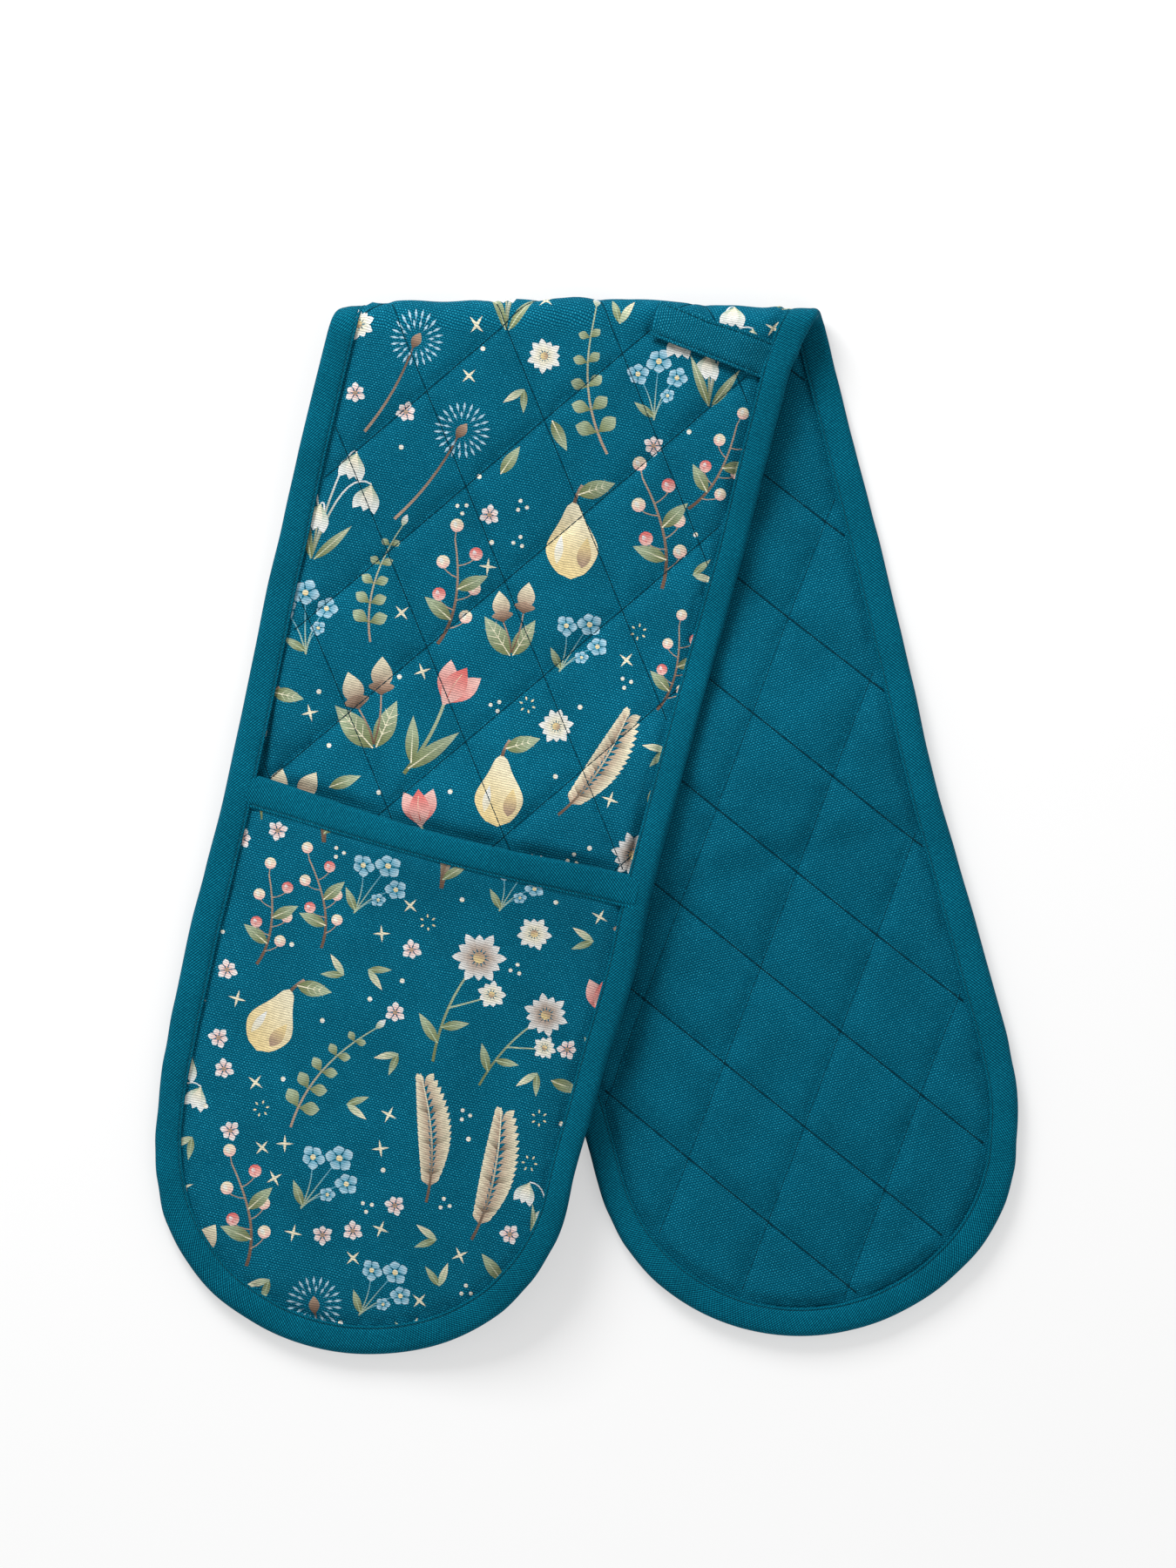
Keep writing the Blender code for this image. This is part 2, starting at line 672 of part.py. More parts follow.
def main():
    for obj in list(bpy.data.objects):
        bpy.data.objects.remove(obj, do_unlink=True)
    glove = bpy.data.collections.new("double_oven_glove")
    bpy.context.scene.collection.children.link(glove)

    rear = add_empty("rear_half", Vector(), None, glove)
    fold = add_empty("fold_lower", Vector((0.0, HINGE_Y, LOWER_HINGE_HEIGHT)), rear, glove)
    front = add_empty("fold_upper", Vector((0.0, HINGE_Y, UPPER_HINGE_HEIGHT)), fold, glove)
    loop = add_empty("loop_swing", loop_frame()[0], front, glove)

    printed = material("printed_canvas", TEAL_PRINT, 0.85)
    plain = material("plain_canvas", TEAL_PLAIN, 0.85)
    tape = material("twill_tape", TEAL_TAPE, 0.80)
    wadding = material("wadding", WADDING_WHITE, 0.95)
    lining = material("pocket_lining", LINING_CREAM, 0.90)

    layers = {"cover": ("outer_cover", printed), "wadding": ("wadding", wadding), "backing": ("backing", plain)}
    resting = {("cover", "rear"), ("backing", "front")}
    patterns = {"rear": quilted_leg("rear"), "fold": plain_fold(), "front": quilted_leg("front")}
    bodies = {"rear": rear, "fold": fold, "front": front}
    for layer, (name, finish) in layers.items():
        for part, pattern in patterns.items():
            bm = layer_mesh(pattern, layer)
            if (layer, part) in resting:
                rest_flat(bm)
            add_part(name + "_" + part, bm, finish, bodies[part], glove)

    pocket_layers = {
        "lining": ("pocket_lining", lining),
        "pocket_wadding": ("pocket_wadding", wadding),
        "pocket_cover": ("pocket_cover", printed),
    }
    for part, sign in (("rear", -1), ("front", 1)):
        pattern = pocket_panel(sign)
        for layer, (name, finish) in pocket_layers.items():
            add_part(name + "_" + part, layer_mesh(pattern, layer), finish, bodies[part], glove)
        pattern.free()
        add_part("pocket_binding_" + part, mouth_binding(sign), tape, bodies[part], glove)
        add_part("edge_binding_" + part, edge_binding(part), tape, bodies[part], glove)
    add_part("edge_binding_fold_left", edge_binding("fold", -1), tape, fold, glove)
    add_part("edge_binding_fold_right", edge_binding("fold", 1), tape, fold, glove)
    for pattern in patterns.values():
        pattern.free()

    tape_loop = add_part("hanging_loop", hanging_loop(), tape, loop, glove)
    solidify = tape_loop.modifiers.new("tape", "SOLIDIFY")
    solidify.thickness = LOOP_TAPE_THICKNESS
    solidify.offset = 0.0
    solidify.use_even_offset = True


main()
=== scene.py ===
"""Looks of a double oven glove, folded in half on a table.

Metres, +Z up. The cloth is drawn flat first, in the pattern of the unfolded strip: a runs across the
strip, s runs along it from the crest of the fold (front leg positive, rear leg negative), and n is the
height above the middle of the quilted body, towards the printed side. place() folds pattern points.
"""

import math
import random

import bpy
import numpy as np
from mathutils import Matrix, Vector
from mathutils.geometry import delaunay_2d_cdt
from mathutils.kdtree import KDTree


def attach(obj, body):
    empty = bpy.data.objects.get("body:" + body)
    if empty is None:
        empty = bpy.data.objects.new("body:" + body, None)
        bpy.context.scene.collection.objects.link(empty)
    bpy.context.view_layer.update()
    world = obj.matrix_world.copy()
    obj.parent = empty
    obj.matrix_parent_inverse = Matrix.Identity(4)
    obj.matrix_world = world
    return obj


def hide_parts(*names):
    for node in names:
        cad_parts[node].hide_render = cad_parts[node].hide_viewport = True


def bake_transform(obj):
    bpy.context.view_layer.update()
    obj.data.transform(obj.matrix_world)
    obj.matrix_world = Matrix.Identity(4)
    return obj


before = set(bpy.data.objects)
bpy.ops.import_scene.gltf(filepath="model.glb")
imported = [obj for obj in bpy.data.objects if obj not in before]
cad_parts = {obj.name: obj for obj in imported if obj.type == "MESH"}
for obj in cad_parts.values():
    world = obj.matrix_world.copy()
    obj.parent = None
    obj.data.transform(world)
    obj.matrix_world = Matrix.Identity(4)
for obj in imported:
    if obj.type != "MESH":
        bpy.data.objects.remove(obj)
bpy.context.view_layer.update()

MM = 0.001

# Flat strip, as in the CAD model
MIDDLE_HALF_WIDTH = 0.0949
HAND_HALF_WIDTH = 0.0895
PARALLEL_LENGTH = 0.0900
LENGTH = {"front": 0.4470, "rear": 0.4420}
SIGN = {"front": 1, "rear": -1}
FOLD_ANGLE = math.radians(14.6)
FOLD_COS, FOLD_SIN, FOLD_TAN = math.cos(FOLD_ANGLE), math.sin(FOLD_ANGLE), math.tan(FOLD_ANGLE)
POCKET_DEPTH = 0.2225
MOUTH = {part: length - POCKET_DEPTH for part, length in LENGTH.items()}

# Quilted body, as in the CAD model but for its puffed shape
BODY_HALF = 0.0034
SEWN_HALF = 0.0016
CLOTH_THICKNESS = 0.0008
LAYER_GAP = 0.0003
QUILT_WIDTH = 0.0498
QUILT_START = np.array([0.0006, 0.0530])
QUILT_ANGLE = math.atan2(QUILT_WIDTH, 0.0682)
QUILT_COS, QUILT_SIN = math.cos(QUILT_ANGLE), math.sin(QUILT_ANGLE)
QUILT_PITCH = QUILT_WIDTH * QUILT_COS
PUFF_RUN = 0.0140
UNDER_POCKET_PUFF_SHARE = 0.45
LOZENGE_SHOULDER = 0.0105
SEAM_SHOULDER = 0.0055
EXTRA_LOFT = 0.0005
SEAM_PULL = 0.0008
SEAM_PULL_RUN = 0.0009
CREST_FILL = 0.0015
CREST_FILL_RUN = 0.0080
CREST_FILL_SEAM_RUN = 0.0040
MOUTH_DIP_RUN = 0.0070
MOUTH_SWELL = 0.0011
MOUTH_SWELL_START = 0.0450
MOUTH_SWELL_RUN = 0.0300
COVER_WAVE = 0.22 * MM
BACKING_WAVE = 0.26 * MM
WADDING_INSET = 0.0012
WADDING_LOOP_DENT = 0.0014
WADDING_LOOP_DENT_RUN = 0.0060
THIN_FOLD_INSET = 0.0005
THIN_FOLD_RUN = 0.0250
THIN_FOLD_FADE = 0.0300
PRESSED = 0.0006
PUCKER = 0.0006
PUCKER_LENGTH = 0.0085

# Tape and pockets, as in the CAD model
TAPE_THICKNESS = 0.0008
TAPE_GAP = 0.0005
CUT_INSET = TAPE_THICKNESS + TAPE_GAP
BINDING_WIDTH = 0.0104
SEWN_MARGIN = 0.0110
TAPE_REACH = BINDING_WIDTH + CUT_INSET
SEAM_INSET = CUT_INSET + SEWN_MARGIN
LINING_THICKNESS = 0.0005
POCKET_WADDING_THICKNESS = 0.0012
POCKET_WADDING_SEWN_THICKNESS = 0.0005
POCKET_COVER_THICKNESS = 0.0007
POCKET_SEAM_GAP = 0.0006
MOUTH_GAPE = {"front": 0.0068, "rear": 0.0052}
HAND_END_GAPE = 0.0042
GAPE_RUN = 0.0550
POCKET_FLAT_RUN = 0.0200
MOUTH_BINDING_WIDTH = 0.0140
MOUTH_TAPE_GAP = 0.0007
MOUTH_TAPE_RISE = MOUTH_TAPE_GAP + TAPE_THICKNESS - 0.15 * MM
POCKET_LAYERS = LINING_THICKNESS + POCKET_COVER_THICKNESS + 2 * LAYER_GAP
POCKET_SEAM_STACK = POCKET_SEAM_GAP + POCKET_LAYERS + POCKET_WADDING_SEWN_THICKNESS
POCKET_ROLL = 0.0008
POCKET_ROLL_RUN = 0.0060
POCKET_SLACK = 0.0004
POCKET_SLACK_RUN = 0.0300
POCKET_PAD_SHARE = 0.985
PAD_PULL_RUN = 0.0050
MOUTH_TAPE_TUCK = 0.0050
MOUTH_TAPE_NOSE = 0.0018
EDGE_TAPE_NOSE = 0.0034
TAPE_GATHER = 0.11 * MM
SEWN_TAPE = TAPE_THICKNESS - 0.1 * MM
BINDING_BOTTOM = SEWN_HALF + TAPE_GAP + SEWN_TAPE
SHEAR_START = 0.0400
SHEAR_RUN = 0.0600

# Fold and drape, as in the CAD model
FOLD_RADIUS = 0.0050 + BODY_HALF
FOLD_FADE = 0.0250
BEND_HALF_RUN = FOLD_RADIUS * math.pi / 2
REST_CUT = 0.0005
LEG_GAP = 0.0020
DRAPE_START = 0.0100
DRAPE_RUN = 0.1100
FOLD_OPENING_RUN = 0.1100
RISE_RUN = 0.0700
RISE_LEAD = 0.0080
TABLE_HEIGHT = BODY_HALF - REST_CUT
PANEL_SEAM_HEIGHT = TAPE_THICKNESS + MOUTH_TAPE_GAP
OUTLINE_TOP = FOLD_RADIUS + SEWN_HALF + TAPE_GAP + TAPE_THICKNESS
OUTLINE_BOTTOM = (LENGTH["front"] - HAND_HALF_WIDTH) * FOLD_COS - BEND_HALF_RUN + HAND_HALF_WIDTH
TANGENT_Y = (OUTLINE_BOTTOM - OUTLINE_TOP) / 2
CREST_X = (LENGTH["front"] - LENGTH["rear"]) * FOLD_SIN / 2

# The front pocket's mouth stands open: its edge has slipped towards the hand end and bulges up
MOUTH_SKEW = 0.0034
MOUTH_SKEW_RUN = 0.0800
MOUTH_SAG = 0.0036
MOUTH_SAG_RUN = 0.0220
MOUTH_RISE = 0.0034
MOUTH_RISE_RUN = 0.0500

# Hanging loop. Its root is sewn in under the edge tape, at a place (a, s) of the pattern
LOOP_ROOT = (0.0834, 0.0073)
LOOP_WIDTH = 0.0159
LOOP_LENGTH = 0.0488
LOOP_COS, LOOP_SIN = math.cos(math.radians(7.1)), math.sin(math.radians(7.1))
LOOP_TUCK = 0.0040
LOOP_ROOT_HEIGHT = SEWN_HALF + 0.27 * MM
LOOP_CLIMB = 0.0024
LOOP_LIFT = 0.0007
LOOP_END_THICKNESS = 0.0004
LOOP_LEAST_OPENING = 0.0004
LOOP_OPENING = 0.0012
LOOP_END_OPENING_SHARE = 0.35
LOOP_PRESS = 0.0019
LOOP_NARROWING = 0.38
LOOP_GROOVE = 0.80
LOOP_DENT = 0.0009
LOOP_DENT_RUN = 0.0011

# Fineness of the meshes
CLOTH_STEP = 2.3 * MM
HIDDEN_STEP = 4.6 * MM
OUTLINE_STEP = 2.5 * MM
CREST_STEP = 2.2 * MM
TAPE_STEP = 2.4 * MM
WADDING_SEAM_STEP = 3 * MM
HIDDEN_START = 12 * MM
FINE_PAD_RUN = 45 * MM
THINNEST_WADDING = 0.1 * MM

# Kinds of stitch: distance from one to the next, share of it that the thread covers, thread radius
QUILT_STITCH = 3.1 * MM
PRINTED_KIND = (QUILT_STITCH, 0.97, 0.22 * MM)
# A wide dark thread for one way of the backing's lines: partly real thread, partly painted shade of the
# ditches beside it.
WIDE_SHADE_THREAD_KIND = (QUILT_STITCH, 0.90, 0.44 * MM)
TIGHT_KIND = (QUILT_STITCH, 0.80, 0.16 * MM)
SEAM_KIND = (2.8 * MM, 0.80, 0.16 * MM)
THREAD_LIFT = 0.10 * MM
QUILT_FROM_CREST = 0.3 * MM
QUILT_UNDER_TAPE = 0.5 * MM
QUILT_UNDER_POCKET = 8 * MM
SEAM_PLACE = 0.890
SEAM_DITCH = 0.36 * MM

# Height above the table of the line that the fold bends round
MID_HEIGHT = TABLE_HEIGHT + FOLD_RADIUS


def smooth(t):
    """0 up to t = 0, 1 from t = 1, with an easy start and end."""
    t = np.clip(t, 0.0, 1.0)
    return t * t * (3 - 2 * t)


def swell(t):
    """0 at t = 0, rising steeply and levelling out at 1 from t = 1."""
    return np.sin(np.pi / 2 * np.clip(t, 0.0, 1.0))


def columns(*values):
    """Arrays and single numbers side by side, as the columns of one array."""
    return np.stack(np.broadcast_arrays(*values), axis=-1)


def summed(steps):
    """Distance from the start after each step, beginning with 0."""
    return np.concatenate([[0], np.cumsum(steps)])


def left_of(ahead):
    """Unit vectors square to the given ones, on their left."""
    return columns(-ahead[..., 1], ahead[..., 0]) / np.hypot(ahead[..., 0], ahead[..., 1])[..., None]


# The strip's flat pattern


def of_leg(s, values):
    """The front leg's value where s is positive, and the rear leg's elsewhere."""
    return np.where(s > 0, values["front"], values["rear"])


def past_mouth(s):
    return np.abs(s) - of_leg(s, MOUTH)


def half_width(s):
    """Half the finished width at s, up to where the round hand end starts."""
    taper = (np.abs(s) - PARALLEL_LENGTH) / (of_leg(s, LENGTH) - HAND_HALF_WIDTH - PARALLEL_LENGTH)
    return MIDDLE_HALF_WIDTH + (HAND_HALF_WIDTH - MIDDLE_HALF_WIDTH) * (1 - (1 - np.clip(taper, 0, 1)) ** 2)


def edge_distance(a, s):
    """How far a pattern point lies inside the finished edge, negative outside it."""
    past_centre = np.abs(s) - (of_leg(s, LENGTH) - HAND_HALF_WIDTH)
    round_end = HAND_HALF_WIDTH - np.hypot(a, past_centre)
    return np.where(past_centre > 0, round_end, half_width(s) - np.abs(a))


def inside_seam(a, s):
    """How far a pattern point lies inside the line where the binding's edge is sewn."""
    return edge_distance(a, s) - SEAM_INSET


def fold_run(a, s):
    """Distance of a pattern point from the crest of the fold, square to the fold."""
    return a * FOLD_SIN + s * FOLD_COS


# Heights of the layers


def ripple(a, s, length, turn):
    """An uneven wave between -1 and 1 over the pattern, with about the given wavelength."""
    u, v = a / length * math.tau, s / length * math.tau
    wave = np.sin(0.83 * u + 0.55 * v + turn) + np.sin(-0.47 * u + 0.91 * v + 2.1 * turn)
    wave += np.sin(1.31 * u - 0.29 * v + 0.7 * turn + 0.8 * np.sin(0.37 * v))
    return wave / 3


def quilt_puff(a, s):
    """0 on a line of quilting, 1 in the middle of a lozenge."""
    across, along = (a - QUILT_START[0]) * QUILT_COS, (s - QUILT_START[1]) * QUILT_SIN
    lines = across - along, across + along
    nearest = [np.abs(line - QUILT_PITCH * np.round(line / QUILT_PITCH)) for line in lines]
    return swell(np.minimum(*nearest) / LOZENGE_SHOULDER) ** 0.72


def body_puff(a, s):
    """Share of full loft at a pattern point: none at seams, less round the fold."""
    fold = 1 - smooth((np.abs(fold_run(a, s)) - BEND_HALF_RUN) / FOLD_FADE)
    return quilt_puff(a, s) * (1 - 0.30 * fold) * swell(inside_seam(a, s) / SEAM_SHOULDER) ** 0.8


def seam_pull(a, s, run=SEAM_PULL_RUN):
    """How far the seam beside the tape is pulled into the body."""
    return SEAM_PULL * np.exp(-(inside_seam(a, s) / run) ** 2)


def mouth_bulge(a):
    return np.clip(1 - (a / (HAND_HALF_WIDTH - SEWN_MARGIN)) ** 2, 0, 1)


def mouth_slip(a, skewed=1.0, sagged=1.0):
    """How far the edge of the front pocket's mouth has slipped towards the hand end."""
    return MOUTH_SKEW * (a / HAND_HALF_WIDTH + 1) / 2 * skewed + MOUTH_SAG * mouth_bulge(a) ** 1.5 * sagged


def loop_width_share(reach, w):
    """The loop's edge nearer the crest draws in towards the far end."""
    return np.where(w < 0, 1 - LOOP_NARROWING * smooth(reach / LOOP_LENGTH) ** 1.5, 1.0)


def loop_spot(reach, w):
    """Pattern point of a point of the loop: reach out from the root and w across it."""
    w = w * loop_width_share(reach, w)
    return LOOP_ROOT[0] - reach * LOOP_COS - w * LOOP_SIN, LOOP_ROOT[1] - reach * LOOP_SIN + w * LOOP_COS


def loop_reach(a, s):
    """How far a pattern point is from the loop's root, along the loop."""
    return (LOOP_ROOT[0] - a) * LOOP_COS + (LOOP_ROOT[1] - s) * LOOP_SIN


def loop_dent(a, s, run):
    """1 along the edges of the loop, where it presses into the cover, and 0 away from them."""
    reach = loop_reach(a, s)
    w = (s - LOOP_ROOT[1]) * LOOP_COS - (a - LOOP_ROOT[0]) * LOOP_SIN
    beside = np.abs(w) - LOOP_WIDTH / 2 * loop_width_share(reach, w)
    outside = np.maximum(beside, np.abs(reach - LOOP_LENGTH / 2) - LOOP_LENGTH / 2)
    return np.exp(-(outside / run) ** 2)


def printed_side(a, s):
    """Height of the cover's printed face. The pocket presses the quilting under it flatter."""
    before_mouth = np.where(s > 0, mouth_slip(a), 0) - past_mouth(s)
    covered = smooth((MOUTH_DIP_RUN - before_mouth) / MOUTH_DIP_RUN)
    loft = BODY_HALF - SEWN_HALF + EXTRA_LOFT * (1 - covered)
    loft = loft * (1 - (1 - 0.3 * UNDER_POCKET_PUFF_SHARE) * covered)
    loft = loft + MOUTH_SWELL * smooth((MOUTH_SWELL_START - before_mouth) / MOUTH_SWELL_RUN) * (1 - covered)
    loft = loft + COVER_WAVE * ripple(a, s, 0.031, 0.4)
    from_crest, from_seam = fold_run(a, s) / CREST_FILL_RUN, inside_seam(a, s) / CREST_FILL_SEAM_RUN
    filled_up = CREST_FILL * np.exp(-from_crest ** 2 - from_seam ** 2)
    dent = np.where(s > 0, LOOP_DENT * loop_dent(a, s, LOOP_DENT_RUN), 0)
    return SEWN_HALF - seam_pull(a, s) + filled_up - dent + loft * body_puff(a, s)


def backing_side(a, s):
    """Height of the backing's face, which puckers beside the quilting."""
    puff = quilt_puff(a, s)
    wave = BACKING_WAVE * ripple(a, s, 0.028, 1.9)
    wave = wave + PUCKER * ripple(a, s, PUCKER_LENGTH, 0.9) * 4 * puff * (1 - puff)
    return SEWN_HALF - seam_pull(a, s) + (BODY_HALF - SEWN_HALF + EXTRA_LOFT + wave) * body_puff(a, s)


def mouth_lift(s):
    """Room under the pocket for the tape that is folded over its mouth."""
    return PANEL_SEAM_HEIGHT * (1 - smooth((past_mouth(s) - MOUTH_BINDING_WIDTH) / POCKET_FLAT_RUN))


def pocket_gape(s):
    """Height of the hand space in the middle of a pocket, least at the hand end."""
    deep = smooth(past_mouth(s) / (POCKET_DEPTH - HAND_HALF_WIDTH / 2))
    mouth_gape = of_leg(s, MOUTH_GAPE)
    return mouth_gape + (HAND_END_GAPE - mouth_gape) * deep


def lining_face(a, s):
    """Height of the pocket lining's face towards the hand."""
    inside = inside_seam(a, s)
    clear_puffs = (BODY_HALF - SEWN_HALF) * UNDER_POCKET_PUFF_SHARE * swell(inside / PUFF_RUN)
    seam = SEWN_HALF + POCKET_SEAM_GAP + mouth_lift(s)
    return seam + clear_puffs + pocket_gape(s) * smooth(inside / GAPE_RUN)


def pocket_face(a, s):
    """Height of the pocket's printed face."""
    loft = POCKET_WADDING_THICKNESS - POCKET_WADDING_SEWN_THICKNESS
    wadding = POCKET_WADDING_SEWN_THICKNESS + loft * smooth(inside_seam(a, s) / POCKET_FLAT_RUN)
    return lining_face(a, s) + POCKET_LAYERS + wadding


def pocket_print_face(a, s):
    """The printed face again. On the front it has soft waves and rolls over at the seam."""
    inside, behind = inside_seam(a, s), past_mouth(s)
    slack = smooth(inside / POCKET_SLACK_RUN) * smooth((behind - 0.010) / POCKET_SLACK_RUN)
    rolled = POCKET_ROLL * swell(inside / POCKET_ROLL_RUN) * smooth((behind - 0.004) / 0.012)
    uneven = POCKET_SLACK * ripple(a, s, 0.066, 3.0) * slack + rolled
    return pocket_face(a, s) + np.where(s > 0, uneven, 0.0) - seam_pull(a, s)


# Folding the pattern


def panel_height(a, s):
    """Height above the table of the rear pocket's printed face, which lies on the table."""
    behind_mouth = np.abs(s) - MOUTH["rear"] - MOUTH_BINDING_WIDTH
    sunk = smooth(inside_seam(a, s) / POCKET_FLAT_RUN) * smooth(behind_mouth / POCKET_FLAT_RUN)
    return np.maximum(0.0, PANEL_SEAM_HEIGHT - (PANEL_SEAM_HEIGHT + REST_CUT) * sunk)


def risen(s, top):
    """A height of the rear leg that climbs from the table to the top of its own pocket."""
    climb = smooth((np.abs(s) - MOUTH["rear"] + RISE_LEAD + RISE_RUN) / RISE_RUN)
    return TABLE_HEIGHT + climb * (top - TABLE_HEIGHT)


def rear_top(a, s):
    """Height of the rear leg's middle layer where it lies on its pocket, kept on from the mouth."""
    s = -np.maximum(np.abs(s), MOUTH["rear"])
    return panel_height(a, s) + pocket_face(a, s)


def rear_ridge(s):
    """Height of the rear leg's middle layer along its middle, smoothed over the pocket's mouth."""
    mouth = np.array(-MOUTH["rear"])
    top = risen(mouth, rear_top(0.0, mouth)) - pocket_gape(mouth)
    return risen(s, top + pocket_gape(-np.maximum(np.abs(s), MOUTH["rear"])))


def front_height(x, y):
    """Height of the front leg's middle layer: it lies on the rear leg and falls to the table beside it."""
    run = TANGENT_Y - y + BEND_HALF_RUN
    a = (x - CREST_X) * FOLD_COS - run * FOLD_SIN
    s = -(x - CREST_X) * FOLD_SIN - run * FOLD_COS
    stack = LEG_GAP + 2 * BODY_HALF
    held = 1 - smooth((-edge_distance(a, s) - DRAPE_START) / DRAPE_RUN)
    resting = TABLE_HEIGHT + held * (rear_ridge(s) + stack - TABLE_HEIGHT)
    return resting + (2 * FOLD_RADIUS - stack) * (1 - smooth((TANGENT_Y - y) / FOLD_OPENING_RUN))


# How the finished edge wanders from the pattern, on the left (-1) and right (1) of each leg: distance
# along the edge from the crest to the middle of the hand end, and offset outwards, both in mm
EDGE_DRIFT = {
    ("front", -1): (
        (0, -0.4), (88, 0.0), (118, 0.7), (148, 1.7), (177, 1.4), (207, 1.1), (237, 0.9), (267, 1.8),
        (289, 2.5), (326, 1.7), (345, 0.6), (369, -1.6), (383, -1.0), (398, 0.0), (414, 1.7), (430, 2.1),
        (448, 2.5), (470, 1.6), (500, 1.3),
    ),
    ("front", 1): (
        (0, 1.2), (10, -0.6), (55, -1.1), (224, -0.9), (267, 1.0), (312, -1.4), (353, -2.9), (384, -0.6),
        (402, 0.6), (420, 1.7), (440, 1.8), (475, 1.3), (500, 1.3),
    ),
    ("rear", -1): (
        (0, -0.4), (88, 0.0), (250, -0.6), (345, -1.6), (354, -1.4), (370, -0.6), (386, 0.5), (405, 1.2),
        (431, 1.3), (500, 1.3),
    ),
    ("rear", 1): (
        (0, 1.2), (16, 4.3), (43, 2.4), (60, 1.8), (88, 1.1), (118, 1.8), (133, 2.2), (163, 2.0), (192, 1.6),
        (222, 0.6), (237, 0.5), (267, 1.4), (296, 2.1), (341, 2.4), (356, 1.4), (385, 0.8), (399, 2.1),
        (414, 2.9), (430, 3.0), (450, 2.1), (477, 1.5), (500, 1.3),
    ),
}

# How far the crest of the fold stands out past its pattern place, against a, both in mm
CREST_DRIFT = (
    (-95, -1.3), (-88, -1.0), (-80, 0.2), (-72, 1.6), (-50, 0.1), (-30, 1.1), (5, 1.3), (24, 0.0),
    (44, -1.0), (62, -3.0), (76, -4.4), (90, -4.6), (97, -3.6),
)


def eased(at, stops):
    """A smooth curve through stops of (position, value), with a level tangent at each stop."""
    position, value = np.array(stops, float).T
    index = np.clip(np.searchsorted(position, at) - 1, 0, len(position) - 2)
    share = smooth((at - position[index]) / (position[index + 1] - position[index]))
    return value[index] + (value[index + 1] - value[index]) * share


def drifted(a, s):
    """Pattern points moved with the wandering edge: fully at the edge, not at all on the middle line."""
    straight = of_leg(s, LENGTH) - HAND_HALF_WIDTH
    past = np.maximum(np.abs(s) - straight, 0.0)
    turn = np.arctan2(past, np.abs(a) + 1e-9)
    along = (np.minimum(np.abs(s), straight) + HAND_HALF_WIDTH * turn) / MM
    reach = np.where(past > 0, np.hypot(a, past) / HAND_HALF_WIDTH, np.abs(a) / half_width(s))
    offset = np.zeros_like(a)
    for (part, side), stops in EDGE_DRIFT.items():
        here = ((s > 0) == (part == "front")) & ((a > 0) == (side > 0))
        offset = np.where(here, eased(along, stops), offset)
    offset = offset * MM * np.clip(reach, 0, 1.1) ** 4
    return a + np.sign(a) * offset * np.cos(turn), s + np.sign(s) * offset * np.sin(turn)


def place(a, s, n):
    """World positions of pattern points, as an array of rows. What would sink into the table is flattened."""
    a, s, n = np.broadcast_arrays(*(np.asarray(value, float) for value in (a, s, n)))
    level = risen(s, rear_top(a, s))
    bulge = eased(np.clip(a / MM, -95, 97), CREST_DRIFT) * MM
    a, s = drifted(a, s)
    run = fold_run(a, s)
    turn = np.clip(run, -BEND_HALF_RUN, BEND_HALF_RUN) / FOLD_RADIUS
    x = CREST_X + a * FOLD_COS - s * FOLD_SIN
    beyond = np.maximum(np.abs(run) - BEND_HALF_RUN, 0.0)
    y = TANGENT_Y - beyond + (FOLD_RADIUS + n + bulge) * np.cos(turn)
    bent = MID_HEIGHT + (FOLD_RADIUS + n) * np.sin(turn)
    flat = np.where(run > 0, front_height(x, y) + n, level - n)
    z = np.where(beyond > 0, flat, bent)
    z = np.where(z < PRESSED, PRESSED * np.exp(z / PRESSED - 1), z)
    return columns(x, y, z)


def pocket_place(a, s, n):
    """World positions of points of a pocket."""
    a, s, n = np.broadcast_arrays(*(np.asarray(value, float) for value in (a, s, n)))
    front, behind = np.where(s > 0, 1.0, 0.0), past_mouth(s)
    slip = mouth_slip(a, 1 - smooth(behind / MOUTH_SKEW_RUN), 1 - smooth(behind / MOUTH_SAG_RUN))
    rise = MOUTH_RISE * mouth_bulge(a) * (1 - smooth(behind / MOUTH_RISE_RUN))
    return place(a, s + front * slip, n + front * rise)


# Small tools for meshes


def mesh_piece(name, points, faces, finish):
    mesh = bpy.data.meshes.new(name)
    mesh.from_pydata(np.asarray(points).tolist(), [], [list(map(int, face)) for face in faces])
    mesh.shade_smooth()
    mesh.materials.append(finish)
    piece = bpy.data.objects.new(name, mesh)
    bpy.context.scene.collection.objects.link(piece)
    return piece


def cloth_map(piece, flat):
    """A UV map in millimetres of cloth, which the weave is drawn on. flat has one row for each point."""
    layer = piece.data.uv_layers.new(name="cloth")
    corners = np.empty(len(piece.data.loops), dtype=np.int64)
    piece.data.loops.foreach_get("vertex_index", corners)
    layer.data.foreach_set("uv", (np.asarray(flat)[corners] / MM).astype(np.float32).ravel())


def grid_faces(rows, columns_round, closed=False, flipped=False):
    """Quads of a grid of points, numbered row by row."""
    faces = []
    for low in range(0, (rows - 1) * columns_round, columns_round):
        for column in range(columns_round if closed else columns_round - 1):
            after, high = (column + 1) % columns_round, low + columns_round
            face = (low + column, low + after, high + after, high + column)
            faces.append(face[::-1] if flipped else face)
    return faces


def soften(piece, slot, nodes, fill=None, **sheet):
    """Hide the CAD nodes that a soft piece stands for. The piece, its finish, how full it is and how it was
    cut are not used.
    """
    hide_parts(*nodes)


